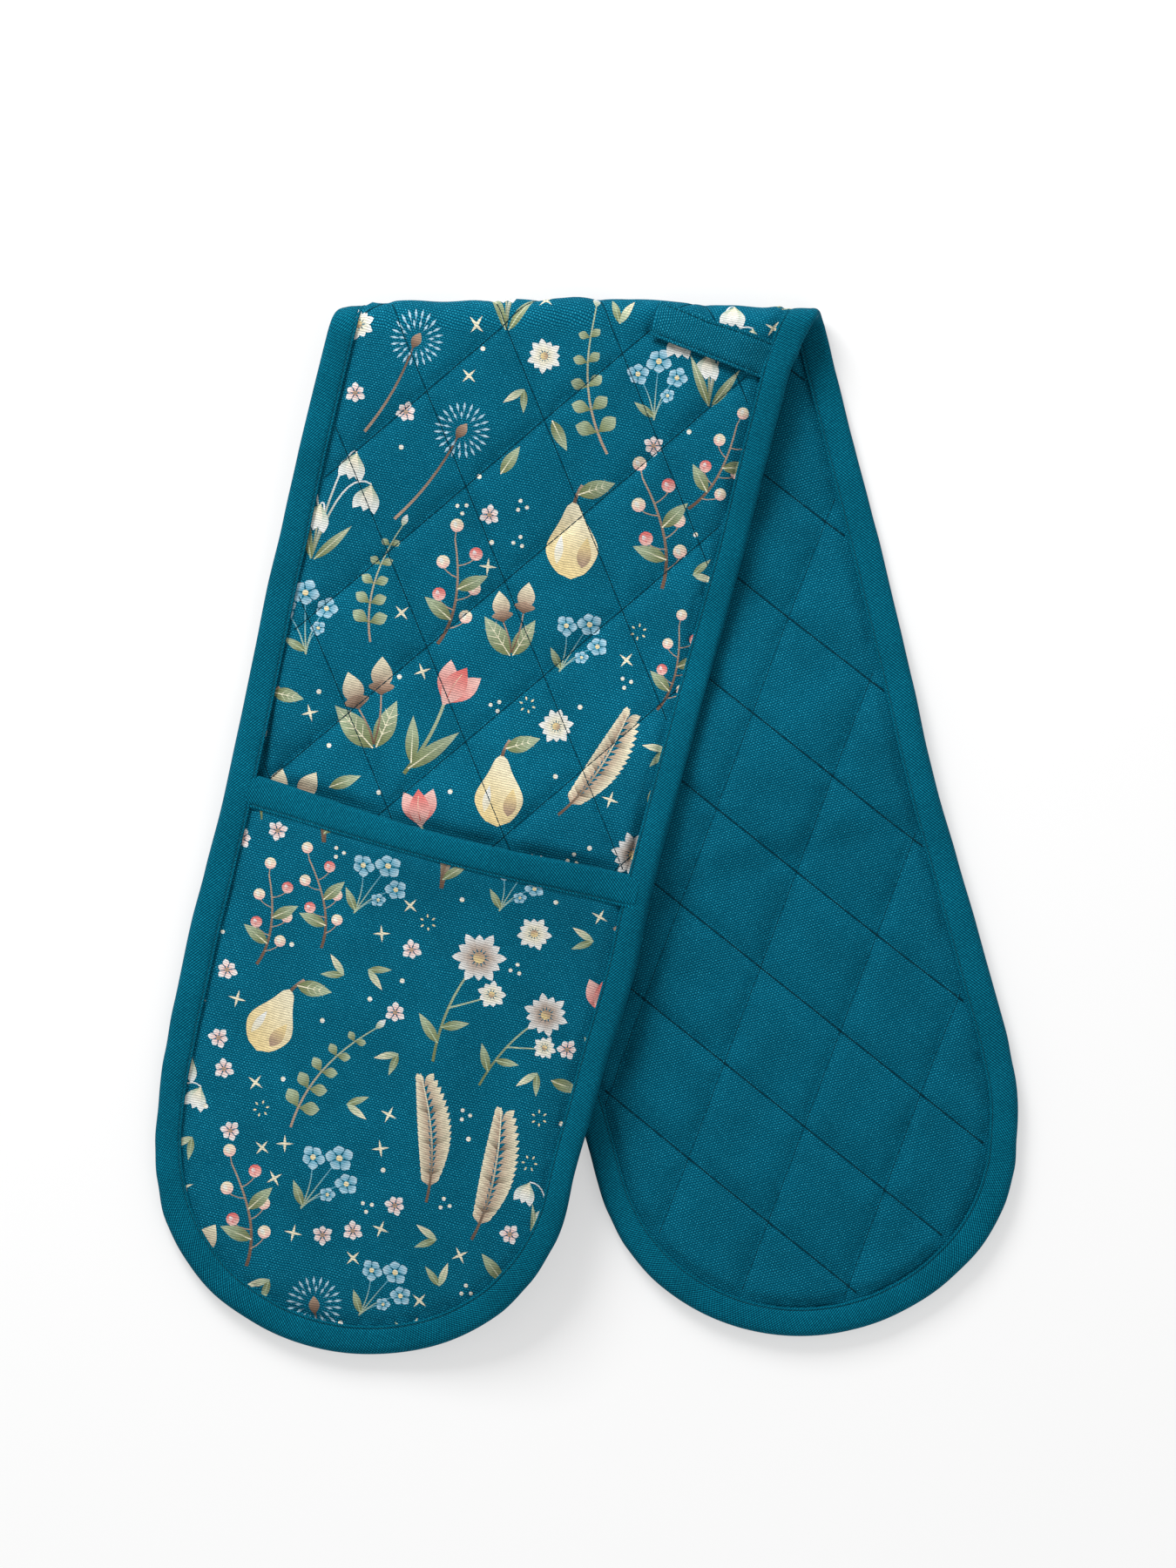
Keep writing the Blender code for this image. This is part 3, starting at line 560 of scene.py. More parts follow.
def leg_edge(part, inset, step=OUTLINE_STEP):
    """Points (a, s) round one leg's edge and their inward directions, from the crest on the right side
    round the hand end to the crest on the left. The first and last lie on the crest of the fold."""
    sign, radius, end = SIGN[part], HAND_HALF_WIDTH - inset, LENGTH[part] - HAND_HALF_WIDTH
    rows = []
    for side in (1, -1):
        start = -sign * side * (MIDDLE_HALF_WIDTH - inset) * FOLD_TAN
        t = np.linspace(start, end, math.ceil((end - start) / step) + 1)
        rows.append(columns(side * (half_width(sign * t) - inset), sign * t, -side, 0.0))
    turn = np.linspace(0, math.pi, math.ceil(math.pi * HAND_HALF_WIDTH / step) + 1)[1:-1]
    cos, sin = np.cos(turn), np.sin(turn)
    arc = columns(radius * cos, sign * (end + radius * sin), -cos, -sign * sin)
    return np.concatenate([rows[0], arc, rows[1][::-1]])


def quilting_lines(part, margin, deepest):
    """The lines of quilting on one leg, each an array of pattern points a stitch apart."""
    reach = math.ceil((LENGTH["front"] + MIDDLE_HALF_WIDTH) / QUILT_PITCH)
    walk = np.arange(-0.62, 0.62, QUILT_STITCH)[:, None]
    found = []
    for lean in (1, -1):
        normal = np.array([QUILT_COS, lean * QUILT_SIN])
        for line in range(-reach, reach + 1):
            points = QUILT_START + normal * QUILT_PITCH * line + walk * np.array([-normal[1], normal[0]])
            a, s = points.T
            keep = (edge_distance(a, s) > margin) & (np.abs(s) < deepest)
            keep &= SIGN[part] * fold_run(a, s) > QUILT_FROM_CREST
            if keep.sum() > 2:
                found.append(points[keep])
    return found


# Cutting cloth


def inner_points(outline, spacing, taken):
    """Grid points inside the outline that keep clear of the points already there."""
    tree = KDTree(len(taken))
    for index, (a, s) in enumerate(taken):
        tree.insert((a, s, 0.0), index)
    tree.balance()
    low, high = outline.min(axis=0), outline.max(axis=0)
    kept = []
    for s in np.arange(low[1], high[1], CLOTH_STEP):
        step = spacing(s)
        if step > CLOTH_STEP and round((s - low[1]) / CLOTH_STEP) % round(step / CLOTH_STEP):
            continue
        for a in np.arange(low[0], high[0], step):
            if tree.find((a, s, 0.0))[2] > 0.55 * step:
                kept.append((a, s))
    return kept


def counterclockwise(outline):
    a, s = np.asarray(outline).T
    return outline if np.sum(a * np.roll(s, -1) - np.roll(a, -1) * s) > 0 else outline[::-1]


def cut_cloth(outline, lines, shapes, spacing):
    """Triangulate a flat piece of cloth, with its creases and printed shapes as edges of the mesh.

    Gives the points (a, s), the triangles, for each triangle the number of the topmost shape there, with
    -1 for bare cloth, and the area."""
    points, edges, faces = [], [], []

    def add_chain(chain):
        first = len(points)
        points.extend((float(a), float(s)) for a, s in chain)
        return list(range(first, len(points)))

    for ring in [outline, *(shape["outline"] for shape in shapes)]:
        faces.append(add_chain(counterclockwise(ring)))
    for line in lines:
        chain = add_chain(line)
        edges.extend(zip(chain, chain[1:]))
    points += inner_points(outline, spacing, points)
    scaled = [Vector((a / MM, s / MM)) for a, s in points]
    verts, _, tris, _, _, origins = delaunay_2d_cdt(scaled, edges, faces, 0, 0.01)
    flat = np.array([vert[:] for vert in verts]) * MM
    kept = [(tri, max(origin) - 1) for tri, origin in zip(tris, origins) if 0 in origin]
    triangles = np.array([tri for tri, _ in kept])
    corner = flat[triangles]
    ahead, side = corner[:, 1] - corner[:, 0], corner[:, 2] - corner[:, 0]
    turned = ahead[:, 0] * side[:, 1] - ahead[:, 1] * side[:, 0]
    triangles = np.where(turned[:, None] < 0, triangles[:, ::-1], triangles)
    used, numbers = np.unique(triangles, return_inverse=True)
    area = float(np.abs(turned).sum() / 2)
    return flat[used], numbers.reshape(triangles.shape), np.array([top for _, top in kept]), area


def leg_outline(part, inset=CUT_INSET):
    """The cut edge of one leg. Both legs have the same points along the crest."""
    across = MIDDLE_HALF_WIDTH - inset
    a = np.linspace(-across, across, math.ceil(2 * across / CREST_STEP) + 1)[1:-1]
    return np.concatenate([leg_edge(part, inset)[:, :2], columns(a, -a * FOLD_TAN)])


def loop_outlines():
    """Lines along the edges of the loop, for the dent that it makes."""
    lines = []
    for out in (-LOOP_DENT_RUN, 0.0, LOOP_DENT_RUN):
        along = np.linspace(0.006, LOOP_LENGTH + out, 22)
        half = LOOP_WIDTH / 2 + out
        end = columns(*loop_spot(LOOP_LENGTH + out, np.linspace(-half, half, 9)[1:-1]))
        sides = [columns(*loop_spot(along, side)) for side in (-half, half)]
        lines.append(np.concatenate([sides[0], end, sides[1][::-1]]))
    return lines


def pocket_outline(part):
    """A pocket's cut edge: straight at the mouth, then round the hand end."""
    edge = leg_edge(part, CUT_INSET)[:, :2]
    end = half_width(np.array(SIGN[part] * MOUTH[part])) - CUT_INSET
    straight = columns(np.linspace(-end, end, 64), SIGN[part] * (MOUTH[part] + 0.6 * MM))
    return np.concatenate([edge[np.abs(edge[:, 1]) > MOUTH[part] + 1.5 * MM], straight])


# The print. Each shape is a closed outline in pattern metres with a tint that runs from root to tip.


def srgb(red, green, blue):
    """Linear colour of a paint given as it looks on a screen, from 0 to 255."""
    shares = [value / 255 for value in (red, green, blue)]
    return tuple(v / 12.92 if v < 0.04045 else ((v + 0.055) / 1.055) ** 2.4 for v in shares)


WHITE = srgb(236, 238, 236)
CREAM = srgb(240, 231, 200)
STRAW = srgb(242, 217, 156)
CORAL = srgb(226, 110, 104)
BLUSH = srgb(243, 196, 186)
TAUPE = srgb(178, 150, 128)
BROWN = srgb(112, 84, 66)
OLIVE = srgb(122, 130, 84)
SAGE = srgb(176, 190, 158)
PALE_BLUE = srgb(190, 222, 236)
SKY = srgb(84, 164, 192)
MIST = srgb(24, 122, 148)

# Pairs of tints, for the root and the tip of a shape
GREEN = (OLIVE, SAGE)
PALE_GREEN = (SAGE, SAGE)
VEIN = (CREAM, SAGE)
DRY_VEIN = (SAGE, CREAM)
BARK = (BROWN, TAUPE)
HUSK = (TAUPE, CREAM)
PALE = (CREAM, WHITE)


def shape(outline, root, tip, root_tint, tip_tint):
    outline, root, tip = (np.asarray(value, float) for value in (outline, root, tip))
    return {"outline": outline, "root": root, "tip": tip, "tints": (root_tint, tip_tint)}


def oval(root, tip, width, tints, widest=0.5, steps=7):
    """A petal or leaf from root to tip, widest at a share of its length."""
    ahead = np.subtract(tip, root)
    t = np.linspace(0, 1, steps + 1)[:, None]
    half = width / 2 * np.sin(math.pi * t ** (math.log(0.5) / math.log(widest)))
    middle, aside = root + t * ahead, half * left_of(ahead)
    return shape(np.concatenate([middle + aside, (middle - aside)[-2:0:-1]]), root, tip, *tints)


def bow(start, bend, end, steps):
    """Points on a curve from start to end that leans towards bend."""
    t = np.linspace(0, 1, steps + 1)[:, None]
    start, bend, end = (np.asarray(p, float) for p in (start, bend, end))
    return (1 - t) ** 2 * start + 2 * t * (1 - t) * bend + t * t * end


def strand(path, width, end_width, tints):
    """A stem along a row of points, tapering to its end."""
    half = np.linspace(width, end_width, len(path))[:, None] / 2
    aside = left_of(np.gradient(path, axis=0)) * half
    return shape(np.concatenate([path + aside, (path - aside)[::-1]]), path[0], path[-1], *tints)


def disc(centre, radius, tints, steps=10):
    centre, turn = np.asarray(centre), np.arange(steps) * math.tau / steps
    outline = centre + radius * columns(np.cos(turn), np.sin(turn))
    return shape(outline, centre - (0, radius), centre + (0, radius), *tints)


def spoke(centre, angle, reach):
    return np.asarray(centre, float) + reach * np.array([math.cos(angle), math.sin(angle)])


def flower(centre, radius, petals, plump, tints, heart, turn=0.3):
    """An open flower seen from above."""
    made = []
    for petal in range(petals):
        angle = turn + math.tau * petal / petals
        reach = radius * (0.93 + 0.07 * math.cos(3.1 * petal))
        root, tip = spoke(centre, angle, 0.12 * radius), spoke(centre, angle, reach)
        made.append(oval(root, tip, plump, tints, 0.62))
    return made + [disc(centre, 0.22 * radius, heart)]


def leaf(root, tip, width, vein=VEIN, tints=GREEN):
    """A leaf with its midrib and, if it is wide, a few side veins."""
    root, ahead = np.asarray(root, float), np.subtract(tip, root)
    made = [oval(root, tip, width, tints, 0.42, 9)]
    made.append(strand(bow(root, root + 0.5 * ahead, root + 0.9 * ahead, 3), 0.45, 0.15, vein))
    if width > 5:
        for share in (0.28, 0.46, 0.62):
            for lean in (1, -1):
                start = root + share * ahead
                end = start + 0.15 * ahead + lean * left_of(ahead) * width * 0.36
                made.append(strand(bow(start, (start + end) / 2, end, 2), 0.3, 0.12, vein))
    return made


# Motifs, in millimetres, upright with their foot near (0, 0)


def daisy_stem():
    stem = bow((0, 0), (-3, 18), (3, 34), 8)
    return [
        strand(stem, 0.9, 0.6, GREEN),
        strand(bow(stem[4], (6, 22), (10, 25), 5), 0.6, 0.4, PALE_GREEN),
        *leaf((-0.5, 6), (-9, 13), 3.4, PALE_GREEN),
        *leaf((-1, 11), (7, 15), 3.0, PALE_GREEN),
        *flower((3.2, 36), 8.6, 12, 3.1, (TAUPE, WHITE), (STRAW, TAUPE)),
        *flower((10.6, 26), 4.6, 9, 2.1, PALE, (TAUPE, STRAW)),
    ]


def tulip():
    return [
        strand(bow((0, 0), (2, 14), (-1, 26), 7), 1.2, 0.9, GREEN),
        *leaf((0.3, 2), (8, 20), 4.6),
        *leaf((0.2, 4), (-7, 17), 4.2),
        *(oval((-1, 25), (side, 38), 6.4, (CORAL, BLUSH), 0.55, 9) for side in (-6, 5)),
        oval((-1, 24.5), (-0.5, 38.5), 7.4, (BLUSH, CORAL), 0.48, 10),
        strand(bow((-0.9, 27), (-1.6, 32), (-0.7, 36), 3), 0.35, 0.15, (CORAL, CREAM)),
    ]


def berry_twig():
    stem = bow((0, 0), (7, 12), (1, 33), 10)
    made = [strand(stem, 1.1, 0.5, BARK)]
    berries = ((2, 1, CREAM), (4, -1, CORAL), (5, 1, CREAM), (7, -1, CREAM), (8, 1, CORAL), (10, 0, CREAM))
    for step, side, tint in berries:
        tip = stem[step] + (side * 5.2, 3.0)
        made += [
            strand(bow(stem[step], stem[step] + (side * 3, 0.6), tip, 3), 0.4, 0.3, (TAUPE, TAUPE)),
            disc(tip + (0, 1.4), 2.1, (BLUSH, tint), 12),
            oval(tip, tip + (-0.8, 2.6), 1.3, (tint, WHITE), 0.6, 5),
        ]
    return made + leaf(stem[3], stem[3] + (-9, 6), 4.4) + leaf(stem[6], stem[6] + (9, 5.5), 4.2)


def gum_sprig():
    stem = bow((0, 0), (-6, 20), (5, 42), 12)
    made = [strand(stem, 0.8, 0.4, (TAUPE, SAGE))]
    for step in range(2, 12, 2):
        size = 6.8 - 0.35 * step
        for side in (1, -1):
            made.append(oval(stem[step], stem[step] + (side * size, size * 0.55), size * 0.74, GREEN, 0.6))
    return made + [oval(stem[-1], stem[-1] + (1.2, 4.4), 2.2, (SAGE, WHITE))]


def acorns():
    made = leaf((1, 0), (-8, 15), 7.6, (CREAM, CREAM)) + leaf((2, 0), (11, 13), 6.4, (CREAM, CREAM))
    for foot, lean in (((-1, 12.5), -0.10), ((6.5, 15.5), 0.22)):
        foot, ahead = np.array(foot), np.array([math.sin(lean), math.cos(lean)])
        made += [
            strand(bow((1.5, 1), foot * 0.5 + (2, 0), foot, 4), 0.6, 0.5, BARK),
            oval(foot + ahead * 1.5, foot + ahead * 12, 6.6, HUSK, 0.45, 9),
            oval(foot, foot + ahead * 4.6, 8.0, BARK, 0.6, 8),
        ]
    return made


def feather():
    """Two vanes of separate barbs, wider on one side, with a downy foot."""
    quill = bow((0, 0), (5, 18), (-1, 42), 21)
    made = []
    for step in range(3, 20):
        for reach in (6.6, -4.6):
            span = reach * math.sin(math.pi * (step - 1) / 20) ** 0.6
            tints = (TAUPE if step % 5 else BROWN, CREAM)
            made.append(oval(quill[step], quill[step] + (span, 4.6), 2.7, tints, 0.6, 5))
    return made + [strand(quill, 0.9, 0.3, (BROWN, CREAM))]


def pear():
    t = np.linspace(0, 1, 16)
    half = 8.6 * np.sqrt(np.sin(math.pi * t)) * (1 - 0.50 * smooth((t - 0.30) / 0.55))
    right = columns(half, 24 * t)
    return [
        shape(np.concatenate([right, (right * (-1, 1))[-2:0:-1]]), (-7, 2), (7, 22), STRAW, CREAM),
        oval((3.2, 3.5), (4.6, 13.0), 4.4, (TAUPE, STRAW), 0.4, 8),
        oval((-4.6, 4.5), (-3.4, 13.5), 2.6, PALE, 0.45),
        strand(bow((0.2, 23.4), (0.6, 26), (2.4, 29), 4), 1.1, 0.9, BARK),
        *leaf((1.2, 26), (12.5, 30), 5.4),
    ]


def seed_heads():
    """Tall dry seed pods with a crown, on bare stems."""
    made = []
    for lean, height, size in ((-7, 30, 1.0), (1, 42, 1.25), (9, 24, 0.85)):
        stem = bow((0, 0), (lean * 0.1, height * 0.6), (lean, height), 8)
        foot = stem[-1]
        made.append(strand(stem, 1.3, 0.9, (BROWN, CREAM)))
        made.append(oval(foot - (0, 0.6), foot + (0, 9 * size), 8.4 * size, HUSK, 0.5, 9))
        for across in (-2.0, 0.0, 2.0):
            base = foot + (across * 0.4 * size, 1.0)
            groove = bow(base, base + (across * 0.5, 4 * size), foot + (across * 0.5, 7.4 * size), 4)
            made.append(strand(groove, 0.4, 0.2, BARK))
        for across in (-3.2, -1.6, 0.0, 1.6, 3.2):
            tip = foot + (across * size, (11.2 - 0.16 * across ** 2) * size)
            made.append(oval(foot + (0, 8.2 * size), tip, 1.5 * size, BARK, 0.7, 4))
    return made + leaf((0, 3), (8, 12), 3.4, DRY_VEIN)


def snowdrops():
    made = []
    for lean, height, nod in ((-8, 26, -4), (-1, 38, 5), (6, 30, 5), (2, 20, -4)):
        stem = bow((0, 0), (lean * 0.2, height), (lean + nod, height - 3), 10)
        made.append(strand(stem, 0.7, 0.45, (OLIVE, WHITE)))
        for spread in (-3.4, 3.4, 0.0):
            tints = (SAGE if spread else CREAM, WHITE)
            made.append(oval(stem[-1], stem[-1] + (spread, -8.6), 3.9, tints, 0.6))
    return made + leaf((0, 0), (-8, 16), 3.0, DRY_VEIN) + leaf((1, 0), (9, 13), 3.0, DRY_VEIN)


def seed_globe():
    """A ball of fine seeds on a thin stalk."""
    made = [strand(bow((0, 0), (3, 16), (0, 31), 8), 0.9, 0.6, (TAUPE, BROWN))]
    for ring, count in ((8.4, 22), (5.6, 15)):
        for index in range(count):
            angle = math.tau * index / count + ring
            inner, outer = spoke((0, 33), angle, ring * 0.35), spoke((0, 33), angle, ring)
            made.append(oval(inner, outer, 1.0, (MIST, PALE_BLUE), 0.85, 4))
    return made + [oval((0, 30), (0, 35.5), 3.2, BARK)]


def blue_posy():
    made = []
    for tip in ((-6, 15), (1, 19), (7, 14), (4, 8)):
        made.append(strand(bow((0, 0), (tip[0] * 0.2, tip[1] * 0.6), tip, 5), 0.45, 0.35, (SAGE, SKY)))
    made += leaf((0, 1), (-7, 6), 2.8, PALE_GREEN)
    for centre, radius in (((-6, 15.5), 4.0), ((1, 20), 4.6), ((7.4, 14.6), 3.8), ((4.4, 8.4), 2.6)):
        made += flower(centre, radius, 5, radius * 0.78, (SKY, PALE_BLUE), (STRAW, CREAM), centre[0])
    return made


def grass_head():
    made = []
    for lean, height in ((-11, 30), (-4, 37), (3, 40), (9, 33)):
        stem = bow((0, 0), (lean * 0.1, height * 0.6), (lean, height), 9)
        made.append(strand(stem, 0.5, 0.3, GREEN))
        for step in range(4, 10):
            side = 1 if step % 2 else -1
            made.append(oval(stem[step], stem[step] + (side * 1.7, 3.0), 1.25, (OLIVE, CREAM), 0.5, 4))
    return made


def daisy_head():
    return flower((0, 0), 6.4, 11, 2.6, PALE, (TAUPE, STRAW), 0.7)


def small_blossom():
    return flower((0, 0), 3.9, 6, 2.3, (BLUSH, WHITE), (TAUPE, TAUPE), 1.1)


def lone_leaf():
    return leaf((0, -6), (1.5, 6), 4.4)


def twin_leaves():
    return leaf((0, -4), (-4.2, 3.4), 2.6, PALE_GREEN) + leaf((0, -4), (4.0, 4.0), 2.6, PALE_GREEN, DRY_VEIN)


def plus_mark():
    return [oval(-tip, tip, 1.0, (CREAM, CREAM), 0.5, 4) for tip in np.array([(0.0, 3.2), (3.2, 0.0)])]


def three_dots():
    return [disc(spoke((0, 0), angle, 1.9), 0.75, PALE, 7) for angle in (0.4, 2.5, 4.6)]


def one_dot():
    return [disc((0, 0), 0.9, (WHITE, CREAM), 8)]


def dash_ring():
    return [oval(spoke((0, 0), angle, 1.7), spoke((0, 0), angle, 3.1), 0.7, (STRAW, CREAM), 0.5, 4)
            for angle in np.arange(6) * math.tau / 6]


# Motif, height of its middle, and the radii of three circles that it fills from foot to top
LARGE_MOTIFS = (
    (snowdrops, 19, (6, 10, 10)),
    (seed_heads, 24, (6, 10, 10)),
    (pear, 14, (9, 9, 9)),
    (daisy_stem, 22, (6, 10, 11)),
    (gum_sprig, 22, (6, 9, 7)),
    (feather, 22, (5, 8, 7)),
    (seed_globe, 21, (3, 6, 9)),
    (tulip, 19, (6, 9, 8)),
    (acorns, 12, (8, 11, 9)),
    (berry_twig, 17, (7, 9, 8)),
    (grass_head, 20, (4, 7, 12)),
    (blue_posy, 12, (6, 9, 9)),
)
CIRCLE_HEIGHTS = (0.3, 1.0, 1.75)
LARGE_TRIES = 900
LARGE_AIR = 0.2 * MM

# Motif and the radius of the circle that it fills. Each group comes with its tries and the air round each
SMALL_MOTIFS = ((daisy_head, 7.6), (lone_leaf, 7.0), (small_blossom, 5.0), (twin_leaves, 5.6))
FILLERS = ((plus_mark, 3.4), (three_dots, 3.2), (one_dot, 1.9), (dash_ring, 3.8), (plus_mark, 3.4))
SMALL_GROUPS = ((SMALL_MOTIFS, 900, 0.6 * MM), (FILLERS, 1500, 1.6 * MM))
SMALL_SIZE = 1.15


def set_down(motif, at, turn, size):
    """Shapes of a motif in pattern metres. Up in the motif is towards the crest on the front leg."""
    cos, sin = math.cos(turn) * size * MM, math.sin(turn) * size * MM
    spin = np.array([[cos, -sin], [-sin, -cos]])
    return [
        shape(*(part[key] @ spin.T + at for key in ("outline", "root", "tip")), *part["tints"])
        for part in motif()
    ]


def scatter(seed, low_s, high_s):
    """Spread the motifs over a stretch of the strip, large ones first, so that none touches another."""
    rng = random.Random(seed)
    taken, shapes = np.empty((0, 3)), []

    def spot():
        return np.array([rng.uniform(-1, 1) * MIDDLE_HALF_WIDTH, rng.uniform(low_s, high_s)])

    def set_where_free(circles, air, *motif_there):
        nonlocal taken
        apart = np.hypot(*(circles[:, None, :2] - taken[None, :, :2]).transpose(2, 0, 1))
        if np.all(apart > circles[:, None, 2] + taken[None, :, 2] + air):
            taken = np.vstack([taken, circles])
            shapes.extend(set_down(*motif_there))

    for index in range(LARGE_TRIES):
        motif, middle, radii = LARGE_MOTIFS[index % len(LARGE_MOTIFS)]
        turn, size = rng.uniform(-0.45, 0.45), rng.uniform(1.08, 1.40)
        at, up = spot(), -np.array([math.sin(turn), math.cos(turn)])
        rises = np.array(CIRCLE_HEIGHTS) * middle * size * MM
        circles = np.column_stack([at + rises[:, None] * up, np.array(radii) * size * MM])
        set_where_free(circles, LARGE_AIR, motif, at, turn, size)
    for motifs, tries, air in SMALL_GROUPS:
        for index in range(tries):
            motif, radius = motifs[index % len(motifs)]
            at, turn = spot(), rng.uniform(-math.pi, math.pi)
            set_where_free(np.array([[*at, radius * SMALL_SIZE * MM]]), air, motif, at, turn, SMALL_SIZE)
    return shapes


def shapes_near(shapes, low_s, high_s):
    """The shapes that lie at least partly in a stretch of the strip."""
    along = [part["outline"][:, 1] for part in shapes]
    return [part for part, s in zip(shapes, along) if s.max() > low_s and s.min() < high_s]


def ink(piece, flat, triangles, tops, shapes):
    """Store the printed colour at each corner of the mesh, with alpha 0 on bare cloth."""
    colours = np.zeros((len(triangles), 3, 4), np.float32)
    printed = tops >= 0
    values = (np.array([part[key] for part in shapes]) for key in ("root", "tip", "tints"))
    root, tip, tints = (value[tops[printed], None] for value in values)
    ahead = tip - root
    along = ((flat[triangles[printed]] - root) * ahead).sum(axis=2) / (ahead ** 2).sum(axis=2)
    share = smooth(along)[..., None]
    colours[printed, :, :3] = tints[:, :, 0] * (1 - share) + tints[:, :, 1] * share
    colours[printed, :, 3] = 1.0
    layer = piece.data.color_attributes.new("ink", "FLOAT_COLOR", "CORNER")
    layer.data.foreach_set("color", colours.ravel())


# Materials


class Finish:
    """A material and short ways to add nodes to it."""

    def __init__(self, name, roughness, sheen=0.0):
        self.material = bpy.data.materials.new(name)
        self.material.use_nodes = True
        self.tree = self.material.node_tree
        self.shader = self.tree.nodes["Principled BSDF"]
        for key, value in (("Roughness", roughness), ("Specular IOR Level", 0.03),
                           ("Sheen Weight", sheen), ("Sheen Roughness", 0.5)):
            self.shader.inputs[key].default_value = value

    def link(self, value, socket):
        if isinstance(value, bpy.types.NodeSocket):
            self.tree.links.new(value, socket)
        elif isinstance(value, tuple) and socket.type == "RGBA":
            socket.default_value = (*value, 1.0)
        else:
            socket.default_value = value

    def node(self, kind, entries=(), **settings):
        """Outputs of a new node, with values or sockets put into its inputs by number or name."""
        made = self.tree.nodes.new("ShaderNode" + kind)
        for name, value in settings.items():
            setattr(made, name, value)
        for key, value in dict(entries).items():
            self.link(value, made.inputs[key])
        return made.outputs

    def math(self, operation, *values):
        return self.node("Math", enumerate(values), operation=operation)[0]

    def mix(self, share, first, second, kind="MIX"):
        return self.node("Mix", {0: share, 6: first, 7: second}, data_type="RGBA", blend_type=kind)[2]

    def times(self, base, factor):
        return self.mix(1.0, base, factor, "MULTIPLY")

    def ramp(self, value, low, high, out_low=0.0, out_high=1.0):
        return self.node("MapRange", enumerate((value, low, high, out_low, out_high)))[0]

    def cloth(self, across_scale=1.0, along_scale=1.0):
        """The cloth's own coordinates in millimetres, times a scale each way."""
        flat = self.node("UVMap", uv_map="cloth")[0]
        scales = (across_scale, along_scale, 1.0)
        return self.node("VectorMath", {0: flat, 1: scales}, operation="MULTIPLY")[0]

    def noise(self, vector, scale=1.0, detail=2.0):
        return self.node("TexNoise", {"Vector": vector, "Scale": scale, "Detail": detail})[0]

    def split(self, vector):
        return self.node("SeparateXYZ", {0: vector})[:2]

    def wavy(self, value, shift, amount):
        """A coordinate pushed about a little, so that no thread is ruler straight."""
        return self.math("MULTIPLY_ADD", shift, amount, value)

    def blotched(self, base, scale):
        """A colour with large and faint patches."""
        return self.times(base, self.ramp(self.noise(self.cloth(), scale, 3.0), 0.3, 0.7, 0.90, 1.10))

    def bump(self, height, distance, strength):
        entries = {"Distance": distance, "Strength": strength, "Height": height}
        self.link(self.node("Bump", entries)[0], self.shader.inputs["Normal"])

    def colour(self, value):
        self.link(value, self.shader.inputs["Base Color"])


# Width of a thread of the canvas each way, and of a rib of the tape, in millimetres
THREAD_ACROSS = 0.60
THREAD_ALONG = 0.95
RIB_PITCH = 0.867


def woven(finish):
    """Plain weave: raised crossings of the thicker thread, height of the cloth, unevenness of the threads."""
    drift = finish.noise(finish.cloth(), 0.12)
    x, y = finish.split(finish.cloth(math.pi / THREAD_ACROSS, math.pi / THREAD_ALONG))
    across = finish.math("SINE", finish.wavy(x, drift, 7.0))
    along = finish.math("SINE", finish.wavy(y, drift, 5.0))
    crossing = finish.math("MULTIPLY", across, along)
    raised = finish.math("POWER", finish.math("MAXIMUM", crossing, 0.0), 1.9)
    ridge = finish.math("MULTIPLY", finish.math("ABSOLUTE", along), 0.55)
    height = finish.math("MULTIPLY_ADD", raised, 0.45, ridge)
    uneven = [finish.noise(finish.cloth(*scales), 1.0, 1.0) for scales in ((0.22, 1.9), (1.7, 0.16))]
    return raised, height, finish.math("ADD", *uneven)


def canvas(name, dark, ground, light, printed=False):
    """Cotton canvas, darker in the low places of the weave as painted shade and with pale flecks on the
    raised crossings as painted highlights.
    """
    finish = Finish(name, 0.88)
    raised, height, uneven = woven(finish)
    grain = finish.ramp(finish.noise(finish.cloth(1.1, 0.85), 1.0, 3.0), 0.35, 0.65, 0.35, 1.15)
    # Painted highlights: pale flecks on the raised crossings of the threads, uneven from place to place.
    fleck_highlight = finish.math("MULTIPLY", raised, finish.ramp(uneven, 0.72, 1.3, 0.35, 1.0))
    # Painted shade: dark in the weave's low places, ground on its raised threads.
    base = finish.mix(finish.ramp(height, 0.05, 0.5), dark, ground)
    base = finish.mix(finish.math("MULTIPLY", fleck_highlight, grain), base, light)
    base = finish.times(base, finish.ramp(finish.noise(finish.cloth(2.4, 2.4)), 0.3, 0.7, 0.70, 1.34))
    if printed:
        paint, alpha = finish.node("VertexColor", layer_name="ink")
        wash = finish.ramp(finish.noise(finish.cloth(), 0.55, 4.0), 0.3, 0.7, 0.80, 1.06)
        # Painted shade: the ink is darker in the weave's low places.
        shaded = finish.times(finish.times(paint, wash), finish.ramp(height, 0.05, 0.6, 0.66, 1.04))
        cover = finish.math("MULTIPLY", alpha, finish.ramp(height, 0.0, 0.30, 0.60, 0.97))
        base = finish.mix(cover, base, shaded)
    finish.colour(finish.blotched(base, 0.045))
    finish.bump(height, 0.16 * MM, 0.75)
    return finish.material


